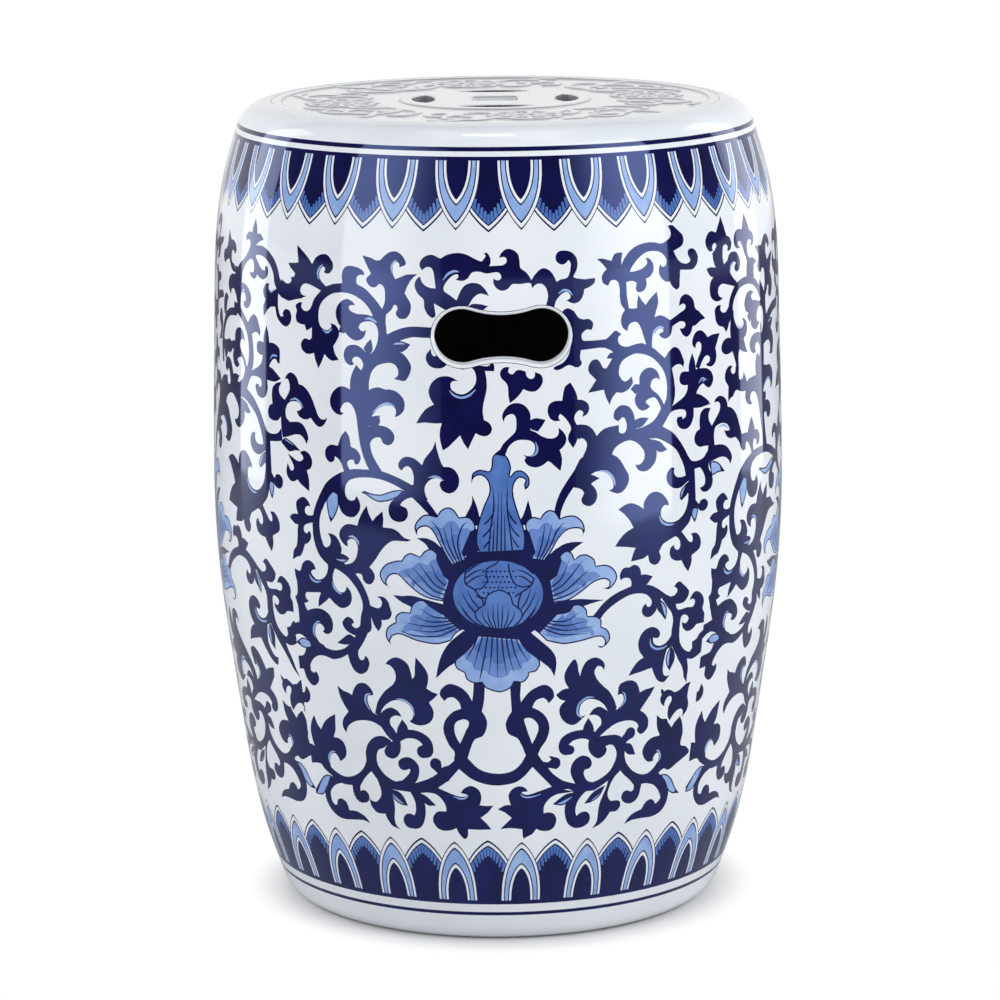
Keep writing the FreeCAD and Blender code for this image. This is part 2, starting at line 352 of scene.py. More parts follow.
def lotus_petals():
    """The nine petals round the pod."""
    shapes = petal(
        [(-18, 189, C), (-24, 185.5), (-27, 181.2, C), (-35, 178.8), (-46, 180), (-56, 183.3),
         (-61, 182, C), (-62.5, 179), (-61.5, 177.4), (-58.5, 176.7, C), (-63, 178), (-65, 182),
         (-63.5, 187), (-58.5, 190.3, C), (-58.5, 193.5), (-55, 196.2), (-49.8, 196.2, C),
         (-49, 200), (-46, 203), (-42, 203.7), (-38.5, 200.8), (-36, 197.5), (-21, 196, C)],
        [[(-23, 189, 0.9), (-34, 183.6, 0.8), (-48, 183.2, 0.7), (-57, 186, 0.2)],
         [(-23, 190.3, 0.9), (-36, 186, 0.8), (-49, 186.4, 0.2)],
         [(-24, 191.6, 0.9), (-38, 188.8, 0.8), (-54, 190.4, 0.2)],
         [(-24, 192.8, 0.9), (-38, 191.5, 0.8), (-48, 194.4, 0.2)],
         [(-24, 194, 0.9), (-36, 194.4, 0.8), (-44, 199, 0.2)]],
        (-18, 194), PALE)
    shapes += petal(
        [(17, 189, C), (22, 185), (26, 180.7, C), (36, 178.3), (47, 179.5), (54, 181, C),
         (58, 180.8), (60, 178), (59, 175.5), (55.5, 176, C), (58, 174.5), (61.5, 176.5),
         (63.2, 180), (61.5, 184.5), (57.5, 186.8, C), (57.5, 190.5), (54.5, 193), (49.2, 193.5, C),
         (48.5, 197.5), (45, 200.3), (41, 200.3), (37, 196.6), (21, 196, C)],
        [[(22, 189.3, 0.9), (34, 184, 0.8), (50, 183.5, 0.2)],
         [(22, 190.5, 0.9), (36, 186.2, 0.8), (53, 187.5, 0.2)],
         [(23, 191.7, 0.9), (36, 188.9, 0.8), (50, 190.8, 0.2)],
         [(23, 192.9, 0.9), (36, 191.3, 0.8), (44, 195.8, 0.2)]],
        (18, 194), PALE)
    shapes += petal(
        [(-24, 203.3, C), (-35, 203.8), (-43, 206.3), (-50, 211.5), (-56, 217), (-60.5, 216.5),
         (-63, 213), (-62, 210.2), (-59.5, 210.2, C), (-63.5, 210.6), (-66.5, 214), (-66.8, 218),
         (-63, 222.7), (-57, 225), (-53.8, 225.3, C), (-52, 228), (-48.5, 229.8), (-43.2, 228, C),
         (-41, 231), (-37, 232.6), (-33.5, 230), (-33.3, 225.5), (-30.5, 219), (-24, 213.5, C)],
        [[(-29, 204.6, 0.9), (-38, 206.8, 0.8), (-46, 213, 0.8), (-52, 219.5, 0.2)],
         [(-29, 207, 0.9), (-36, 209.5, 0.8), (-42, 215.5, 0.8), (-48, 222.2, 0.2)],
         [(-29, 209.6, 0.9), (-35, 212.5, 0.8), (-39.5, 218, 0.8), (-44, 224, 0.2)],
         [(-29.5, 212.5, 0.9), (-34, 216.5, 0.8), (-37.5, 225, 0.2)]],
        (-24, 208), PALE)
    shapes += petal(
        [(24, 202, C), (37, 202.8), (45, 207), (52, 212), (58, 213.6), (61.5, 212), (61, 209),
         (58, 208.7, C), (61.5, 207.7), (65, 210.5), (66.3, 215), (63.5, 219.6), (59, 221.7),
         (53.6, 221.4, C), (52.5, 225.5), (48, 228.3), (44, 228), (41.5, 225.8, C), (40, 229.5),
         (36.5, 231), (33, 228), (34, 223), (31.5, 218), (24, 213.5, C)],
        [[(29, 203.6, 0.9), (40, 207, 0.8), (51, 214.5, 0.2)],
         [(29, 206, 0.9), (37, 209, 0.8), (43, 214, 0.8), (50, 220, 0.2)],
         [(29, 208.6, 0.9), (35, 212, 0.8), (40.5, 218, 0.8), (46, 225, 0.2)],
         [(29, 211.4, 0.9), (34, 215.5, 0.8), (38.5, 226, 0.2)]],
        (24, 208), PALE)
    shapes += petal(
        [(-22, 219, C), (-28, 227.3), (-33, 237), (-36.5, 243), (-40, 244.8), (-44, 243.2),
         (-44.8, 239.6, C), (-46.2, 244), (-44.5, 248), (-40, 251.5), (-33.5, 250.7, C),
         (-31.5, 254), (-27.5, 255.9), (-24, 254.5), (-21.3, 250.5, C), (-17, 251), (-13.8, 249),
         (-12.3, 245), (-14, 242.5), (-19, 241.5), (-20.3, 233), (-15.5, 224, C)],
        [[(-23.5, 223.8, 0.9), (-29, 233, 0.8), (-32.5, 243, 0.8), (-37, 248.3, 0.2)],
         [(-22.3, 224.6, 0.9), (-27, 234, 0.8), (-30.2, 246, 0.2)],
         [(-21.2, 225.4, 0.9), (-24.5, 235, 0.8), (-26, 247.5, 0.2)],
         [(-20.2, 226.2, 0.9), (-22.3, 236, 0.8), (-20, 245, 0.8), (-17, 248, 0.2)]],
        (-18, 222), PALE)
    shapes += petal(
        [(20, 220, C), (27.5, 229.3), (32, 237), (36, 241.5), (40, 243), (44.5, 242.7), (46.2, 240.3),
         (44.8, 237.5, C), (47.2, 241.5), (46, 246.5), (42, 250), (37, 250.3), (33.2, 249, C),
         (31, 252.8), (27.5, 254), (24.5, 252.5), (22.5, 249.5, C), (19, 250.5), (15.5, 249),
         (14.2, 245.5), (15.5, 242), (19.5, 240.5), (20, 233), (15, 224, C)],
        [[(22.3, 225, 0.9), (28, 234, 0.8), (31.5, 242, 0.8), (36, 247, 0.2)],
         [(21.4, 225.8, 0.9), (26, 235, 0.8), (29, 246, 0.2)],
         [(20.6, 226.8, 0.9), (23.5, 236, 0.8), (25, 246, 0.2)]],
        (17, 222), PALE)
    shapes += petal(
        [(-12, 188, C), (-15, 180), (-20, 174.5), (-25, 170), (-24.5, 165.5), (-20, 162.8, C),
         (-18.8, 159), (-14.5, 156.8), (-10.3, 157.3, C), (-7.5, 153.8), (0, 151.7), (6, 154),
         (8.2, 157.7, C), (13, 157.2), (16, 160), (16.6, 162.7, C), (20.5, 163.5), (22.8, 167.5),
         (21.3, 171.3), (15.5, 176), (12, 181), (10, 188, C)],
        [[(-11.3, 186, 0.9), (-14.5, 178, 0.8), (-19, 170, 0.2)],
         [(-8.8, 186, 0.9), (-11.5, 177, 0.8), (-14.5, 166, 0.2)],
         [(-6.3, 186, 0.9), (-8, 175, 0.8), (-10.5, 163, 0.8), (-11.5, 158.5, 0.2)],
         [(-3.8, 186, 0.9), (-4.6, 174, 0.8), (-6, 162, 0.2)],
         [(-1.4, 186, 0.9), (-1.3, 174, 0.8), (-1.3, 160.5, 0.2)],
         [(1.0, 186, 0.9), (2, 174, 0.8), (4, 161, 0.2)],
         [(3.4, 186, 0.9), (5, 174, 0.8), (8, 163, 0.2)],
         [(5.8, 186, 0.9), (8.2, 175, 0.8), (12, 165, 0.2)],
         [(8.2, 186, 0.9), (11.2, 177, 0.8), (16, 169.5, 0.2)]],
        (0, 190), PALE)
    return shapes


def lotus_bud():
    """The tall bud that stands behind the pod, with its two folded side leaves."""
    return petal(
        [(-9, 228, C), (-12.3, 236), (-11.5, 246), (-8, 257), (-5, 264), (-5.5, 270), (-9, 273.5),
         (-13, 272.5), (-14.5, 269, C), (-14, 274.5), (-10, 276.8), (-5, 276), (-3.6, 279), (-3, 284),
         (0.7, 287.5, C), (5, 283.5), (7, 278), (6.3, 273), (9, 275.8), (13, 276), (16.5, 272.5),
         (16.8, 268), (14.5, 265.6), (13.8, 268.5, C), (14.5, 271), (11, 272), (8.3, 268), (8.2, 262),
         (11, 252), (14, 243), (14.3, 235), (12.5, 228, C)],
        [[(-5.5, 230, 0.9), (-4.5, 244, 0.8), (-2.4, 257, 0.8), (-3.2, 268, 0.2)],
         [(7.5, 230, 0.9), (6, 244, 0.8), (4.6, 257, 0.8), (5, 268, 0.2)],
         [(-1.2, 230, 0.8), (-0.6, 246, 0.7), (0.2, 264, 0.2)],
         [(1.2, 230, 0.8), (1.4, 246, 0.7), (1.6, 264, 0.2)],
         [(3.3, 230, 0.8), (3.3, 242, 0.7), (3.2, 252, 0.2)],
         [(-3.3, 230, 0.8), (-2.8, 240, 0.7), (-2.2, 248, 0.2)],
         [(-8.5, 240, 0.9), (-5.5, 243, 0.8), (-2.5, 248, 0.2)],
         [(-7.5, 247, 0.9), (-4.5, 250, 0.8), (-2, 255, 0.2)],
         [(-8, 234, 0.9), (-5.5, 237, 0.8), (-3.5, 241, 0.2)],
         [(10.8, 240, 0.9), (8, 243, 0.8), (5.5, 248, 0.2)],
         [(9.5, 247, 0.9), (7, 250, 0.8), (4.8, 255, 0.2)],
         [(10.5, 234, 0.9), (8.5, 237, 0.8), (6.6, 241, 0.2)]])


def lotus_pod():
    """The round pod with its ring, its folded petals and its dotted heart."""
    shapes = [oval(DARK, 0, 28.6, 23.3, 40), oval(MID, -0.6, 24.6, 19.2, 40)]
    for row in range(5):
        for column in range(-4, 5):
            x = 0.8 + column * 2.3 + (row % 2) * 1.15
            if abs(x) < 5.4 + row * 1.1 + (4 - row) * 1.1:
                shapes.append(dot(DARK, x, 208.6 + row * 3.0, 1.25))
    veins = [
        [(-20, 200, 0.2), (-15, 193, 0.8), (-9, 189.5, 0.8)],
        [(-22.5, 204, 0.2), (-18, 196, 0.8), (-12, 190.5, 0.8)],
        [(20.5, 200, 0.2), (15.5, 193, 0.8), (9, 189.5, 0.8)],
        [(22, 205, 0.2), (18, 197, 0.8), (12, 190.5, 0.8)],
        [(-20.5, 209, 0.2), (-17, 202, 0.8), (-12, 196, 0.8), (-9, 191, 0.8)],
        [(-17.5, 210, 0.2), (-14.5, 204, 0.8), (-10.5, 199.5, 0.7)],
        [(20, 209, 0.2), (17, 202, 0.8), (13, 196, 0.8), (10, 191, 0.8)],
        [(17.5, 211, 0.2), (15, 204, 0.8), (12, 199.5, 0.7)],
        [(-10, 224.5, 0.2), (-14, 223, 0.8), (-18.5, 219.5, 0.8)],
        [(-7.5, 222, 0.2), (-13, 220.5, 0.8), (-18.5, 216.5, 0.8)],
        [(-7.5, 218.5, 0.2), (-12.5, 217.5, 0.8), (-18, 213.5, 0.8)],
        [(9, 224.8, 0.2), (14, 223, 0.8), (18.5, 219, 0.8)],
        [(8.5, 221.5, 0.2), (13.5, 220.3, 0.8), (18.8, 216.5, 0.8)],
        [(9, 218, 0.2), (13, 217.3, 0.8), (18, 213.5, 0.8)],
    ]
    edges = [
        [(-18.2, 221, 0.9), (-18.4, 214, 0.9), (-13.5, 210.5, 0.9), (-10.5, 206.5, 0.9),
         (-7.5, 205.5, 0.9)],
        [(-6, 216, 0.8), (-7, 221.5, 0.8), (-2, 224.6, 0.8), (-0.5, 226.3, 0.8)],
        [(-6.2, 216, 0.8), (-9, 211.5, 0.8), (-13.5, 210.5, 0.8)],
        [(18.8, 216.2, 0.9), (17.5, 212.5, 0.9), (12.5, 209, 0.9), (8.8, 206.5, 0.9)],
        [(5, 224.6, 0.8), (6, 219.5, 0.8), (8.2, 214, 0.8), (12.5, 211.8, 0.8), (17.5, 212.5, 0.8)],
        [(12, 208.6, 0.9), (10.4, 202.5, 0.9), (10.8, 197, 0.9)],
        [(-12.5, 207, 0.9), (-9.3, 205, 0.9), (-8.6, 202, 0.9)],
    ]
    for line in veins + edges:
        shapes.append(stroke(DARK, *line))
    shapes += petal(
        [(-8, 189, C), (-13, 194), (-13.2, 198.5), (-8.3, 202.2, C), (-6.5, 207.5), (0, 210.6),
         (6, 207.5), (7.8, 202.2, C), (12.3, 198.5), (12.5, 194), (8, 189, C), (0, 187.8)],
        [[(-5, 189.5, 0.8), (-8.5, 194, 0.7), (-9.5, 198.5, 0.2)],
         [(-3.6, 189.2, 0.8), (-6, 194.5, 0.7), (-6.2, 199.5, 0.2)],
         [(-2, 189, 0.8), (-3.4, 195, 0.7), (-3.3, 202, 0.2)],
         [(-0.5, 189, 0.8), (-0.8, 195, 0.7), (-0.8, 203, 0.2)],
         [(1, 189, 0.8), (1.7, 195, 0.7), (1.8, 202, 0.2)],
         [(2.6, 189.2, 0.8), (4.6, 194.5, 0.7), (4.8, 200, 0.2)],
         [(4.2, 189.5, 0.8), (7.4, 194, 0.7), (8.5, 198.5, 0.2)]])
    return shapes


def lotus():
    """The whole flower, from its back leaves to its pod."""
    return lotus_sepals() + lotus_bud() + lotus_petals() + lotus_pod()


# The painted scroll between the borders

def dark(*points):
    """A cobalt leaf or hook."""
    return leaf(DARK, *points)


def vine(*points):
    """A cobalt brush stroke."""
    return stroke(DARK, *points)


def glint(*points):
    """A pale line left inside a hook."""
    return stroke(PALE, *points)


def pale_leaf(*points):
    """A small pale leaf with a cobalt edge."""
    return petal(points, [], None, PALE)


def lower_left():
    """Scroll left of the flower's foot."""
    return [
        dark((-75.5, 136, C), (-73, 143), (-68, 149.5), (-62.5, 154), (-60.5, 158), (-61, 162),
             (-63.5, 164.8), (-66.3, 165.5, C), (-64, 168), (-60, 169.9), (-56, 169), (-52.5, 166),
             (-51, 161), (-50.5, 158, C), (-49, 160), (-48.6, 165), (-47.8, 170.7, C), (-44, 166.5),
             (-41.3, 162), (-41, 158), (-42.3, 153, C), (-39, 151), (-35.6, 150, C), (-38, 147.5),
             (-41.2, 144.8, C), (-39.5, 142), (-38.7, 138.5), (-40, 134.5), (-43.5, 131.8), (-48, 131),
             (-51.5, 131.8), (-53.8, 133, C), (-51.7, 135), (-51.3, 138.5), (-53.5, 142.5),
             (-57.5, 144.7), (-62, 144.8), (-66, 143), (-70, 139.5), (-72.8, 134, C)),
        glint((-61, 145.7, 0.3), (-56, 145, 1.2), (-51.8, 141.5, 1.3), (-50.6, 136.5, 0.5)),
        dark((-73.5, 134, C), (-70.5, 137.5), (-65.5, 140.2), (-61, 138.9), (-58.4, 135.4, C),
             (-62, 135.8), (-65.3, 134.2), (-66.2, 131.2), (-64.5, 127.5), (-62.3, 124.3, C),
             (-66, 121), (-72, 128)),
        dark((-97, 122, C), (-99, 125.5), (-98, 130), (-93.8, 134.8, C), (-97, 139.5), (-99, 144),
             (-99.8, 149.4, C), (-96.5, 147), (-93, 146.2), (-90, 145, C), (-88.5, 148.5), (-85.5, 152),
             (-81, 153), (-77.5, 151), (-75.5, 147.5), (-76.3, 146.2, C), (-79, 145.8), (-79.8, 142.5),
             (-78.5, 139), (-77, 136.3, C), (-73, 134.4), (-68.5, 132.5), (-63.5, 127), (-60.5, 121),
             (-60.5, 116), (-62.5, 112), (-66, 110), (-70, 111), (-71.4, 113.5), (-70.5, 116),
             (-68, 119), (-65.5, 120.6), (-67, 123.5), (-70.5, 127), (-76, 130.2), (-82, 131),
             (-89, 129.8), (-94.5, 126.5)),
        glint((-76.8, 147.3, 0.3), (-80.3, 146, 1.1), (-81.2, 142, 1.1), (-78.8, 137.5, 0.4)),
        *pale_leaf((-62.6, 124.3, C), (-61.5, 128.8), (-58.3, 133.8, C), (-55.8, 130.8), (-55, 127.8),
                   (-57.5, 126)),
        vine((-63, 122, 5), (-57, 125.2, 5), (-50, 125.3, 5.2), (-44.3, 121.8, 6), (-43.6, 116.5, 7.2),
             (-46.6, 115.6, 7.6)),
        dark((-66, 120.4, C), (-71, 122.8), (-77, 121.8), (-82, 117.5), (-84.3, 112), (-84.5, 106.5),
             (-88, 101), (-94, 97), (-101, 95.4), (-107, 96.8), (-112, 99.5, C), (-120, 102),
             (-118, 98), (-112, 94.5), (-105, 91), (-97, 90.8), (-90.5, 91.2, C), (-86.5, 96.5),
             (-81.5, 101, C), (-78, 97), (-76.3, 92, C), (-66, 91.5), (-52, 91), (-45, 91.6, C),
             (-38.5, 94.6, C), (-31, 100), (-25, 106.5, C), (-20, 112, C), (-27, 112, C), (-31, 108.5),
             (-34.5, 107.3), (-38, 103.5), (-44, 99.8), (-53.8, 96.3, C), (-56, 98), (-62, 97.5),
             (-66, 96.8), (-72, 99.8), (-76, 104.5), (-77, 109), (-75.5, 114), (-71.3, 116, C)),
        vine((-58, 95.5, 7), (-53.3, 101, 6), (-52.6, 106, 6), (-56, 108.3, 7), (-59.3, 107.3, 7.2)),
        vine((-33, 101, 5), (-36.5, 104.5, 4), (-39, 108.7, 7.4)),
        vine((-93.3, 93, 6), (-93.6, 87.5, 5.6), (-91.5, 84.3, 6), (-88.3, 85.3, 7.6)),
        dark((-81.5, 101, C), (-77.5, 96), (-76, 91), (-76.2, 87), (-79.5, 83.3), (-82.5, 83.2),
             (-84.5, 84.5, C), (-84, 80.5), (-81, 77), (-77.5, 76.2), (-74.5, 76.5, C), (-73, 73),
             (-70, 69.5), (-64.5, 67.8, C), (-67.5, 70.5), (-68.2, 75), (-67.3, 80), (-67.5, 85),
             (-68.8, 89), (-70, 95, C)),
        *pale_leaf((-70.5, 92, C), (-64, 90.8), (-60.5, 87.5), (-58.4, 82.8, C), (-62.5, 83),
                   (-67, 85.5)),
        vine((-54.5, 94, 6), (-50.8, 87, 6), (-50.3, 79.5, 6.5), (-53, 73.6, 7.6), (-57.8, 73.8, 9)),
        *pale_leaf((-52.5, 91.5, C), (-47, 90), (-43, 87), (-40, 84.2, C), (-44.5, 83.8), (-48.5, 86)),
        dark((-45, 91.6, C), (-40, 91), (-36, 87.8), (-34, 84), (-33.8, 81, C), (-36, 81),
             (-39.5, 80.5), (-42.3, 77.5), (-42.4, 73.8), (-39.5, 70.3), (-35.5, 69.2), (-31, 69.8),
             (-28, 71.2, C), (-26.5, 68), (-23.3, 64.8), (-21, 66.2), (-20.6, 70.7, C), (-17, 70.6),
             (-12, 70.5), (-6, 70.8, C), (-9, 74.5), (-12.6, 77.7, C), (-8, 81), (-4.7, 85, C),
             (-9, 84.9), (-13, 85.3, C), (-11.8, 90), (-13.5, 94.5), (-18, 96.7), (-22.3, 95),
             (-24.5, 92.3, C), (-21, 91.5), (-20.6, 90.6), (-24.5, 90.1), (-30, 91.5),
             (-38.5, 94.8, C)),
        glint((-29, 90.0, 0.3), (-25, 88.9, 0.9), (-21.5, 89.4, 0.9), (-20, 91, 0.3)),
        dark((-105, 91, C), (-110.5, 88.8), (-114.6, 84.3), (-114.6, 79.3), (-112.5, 77),
             (-110.8, 77.2, C), (-109.3, 80.6), (-106, 81.5), (-102.7, 79.8), (-101, 75.2, C),
             (-96, 75.5), (-91, 74), (-88, 71.8), (-86.2, 69.2, C), (-91, 70.6), (-98, 70),
             (-106, 69.2), (-112.5, 70.7), (-117.5, 75), (-119.8, 81), (-118.3, 87), (-114, 92),
             (-108, 95.5), (-100, 94, C)),
        *pale_leaf((-110, 93.6, C), (-115.5, 94.5), (-120, 92.3), (-124.5, 87.5), (-130, 81.5, C),
                   (-125, 81), (-120.5, 82.3), (-116, 88)),
        dark((-108, 95, C), (-111.6, 99), (-112, 104), (-110, 107.5), (-107, 108.3), (-105, 106.5),
             (-103.8, 104, C), (-99.5, 107), (-98.2, 111), (-99.5, 115.5), (-103, 117.8),
             (-107, 118, C), (-105, 122), (-104.3, 127), (-103.8, 132, C), (-109, 129.2), (-113, 126),
             (-116.6, 121.2, C), (-119, 124), (-121, 128.9, C), (-124, 124.5), (-125.5, 119.5),
             (-125, 114.5), (-123.8, 110.3, C), (-128, 111), (-134, 110), (-134, 99.5), (-126, 99.8),
             (-120, 100)),
        glint((-111.8, 100.5, 0.3), (-112.8, 105, 1.2), (-110, 108.6, 1.2), (-106.8, 109.3, 0.3)),
        dark((-118, 175, C), (-113.5, 174.5), (-110.2, 173.2), (-106.5, 171), (-100, 169.8),
             (-93, 171.5), (-88.5, 174.8), (-84.5, 179.5), (-82.5, 183.5), (-80.5, 187, C),
             (-73.8, 189, C), (-74.8, 185), (-77.5, 179.5), (-80, 175.5), (-83, 171.5, C),
             (-83.2, 168.5), (-82, 166.3), (-79.8, 166.8), (-78.8, 169.2, C), (-77, 167.5),
             (-76.4, 164.3), (-78.5, 160), (-82.5, 158), (-86.3, 159.3), (-89, 163.5),
             (-90.3, 168.6, C), (-95, 166), (-101, 164.5), (-107, 165.6), (-112, 165), (-116.5, 162),
             (-118.8, 158.5), (-119, 155.4, C), (-116.7, 154.3), (-115, 155.4), (-113.3, 153),
             (-113.5, 150), (-116.5, 147), (-120, 147), (-123.3, 150.5), (-125, 155.5, C), (-128, 155),
             (-132, 155.3), (-132, 161.5), (-124, 163.5), (-121, 168)),
        *pale_leaf((-97, 174.4, C), (-92, 178.3), (-88, 180.5), (-84.4, 178.6, C), (-88, 175),
                   (-92, 174)),
        *pale_leaf((-128.5, 170.4, C), (-123.5, 173.8), (-118, 173.3), (-114, 170.8, C), (-118, 168.5),
                   (-123.5, 168.2)),
        dark((-132, 135.6), (-126, 135.3), (-122.8, 137.5), (-122, 141), (-123.3, 144),
             (-125, 145.6, C), (-125.8, 143.3), (-127, 141.3), (-132, 140.3)),
    ]


def stem():
    """The two looped stems and the bowl under the flower."""
    return [
        dark((-14.8, 158, C), (-15.3, 151), (-16, 146.5, C), (-18.5, 151), (-23, 154.8), (-29, 156.2),
             (-33.5, 153.2), (-34.6, 149.5), (-32, 146, C), (-30, 148), (-26.5, 148.3), (-23.5, 145.5),
             (-22.5, 142, C), (-28, 139.5), (-32.5, 134), (-33.3, 128), (-30.5, 120.5), (-27.3, 116.5),
             (-27.8, 112, C), (-25, 106.5, C), (-18, 101), (-10, 98), (-2, 97), (8, 98.4), (14, 102),
             (19, 107.5, C), (25, 101.5), (31, 95.4, C), (38, 93, C), (50, 94, C), (46, 96, C),
             (38, 98.5), (31, 103.5), (27.5, 108.3, C), (24.5, 111.5), (22.2, 114.8, C), (24, 118.8),
             (27.3, 123.5), (28.8, 130), (27, 136), (23, 140.2), (18.5, 142.5, C), (20.5, 146.3),
             (24.5, 147.8), (27, 146.2), (27.8, 144.4, C), (31, 148), (30, 152.5), (26, 155.4),
             (21, 154.3), (16, 151), (12, 145.8, C), (11.5, 150), (12, 158, C), (5.6, 158, C),
             (6.1, 150), (6.6, 140.5, C), (4.2, 136.5), (3.1, 132.5), (4.8, 127.5), (10, 124.6),
             (12.5, 120.5), (15, 114.5, C), (12, 109.5), (7, 105.5), (0, 104), (-8, 104.8),
             (-14, 107.5), (-19.5, 113, C), (-17.5, 119), (-15, 124), (-10, 126.5), (-7.6, 132.5),
             (-8.3, 137), (-10.5, 140.5, C), (-9, 148), (-8.4, 158, C)),
        leaf(WHITE, (-25.6, 134), (-21.5, 135.8), (-18.4, 134.6), (-18.6, 131.6), (-20, 129.5),
             (-22, 125), (-23.8, 121.4, C), (-26.2, 126), (-26.9, 130.5)),
        leaf(WHITE, (13.9, 135), (15, 136.4), (18.5, 136), (21.5, 133), (22.3, 129.5), (20.7, 124.8),
             (18.7, 121.2, C), (17.4, 124.5), (15.6, 129.5)),
        vine((26, 108.5, 3.6), (29, 108.3, 3.6), (32.4, 109.1, 7.4)),
        vine((28.7, 113.4, 0.2), (30.5, 112.6, 1.6), (32.5, 111, 3)),
    ]


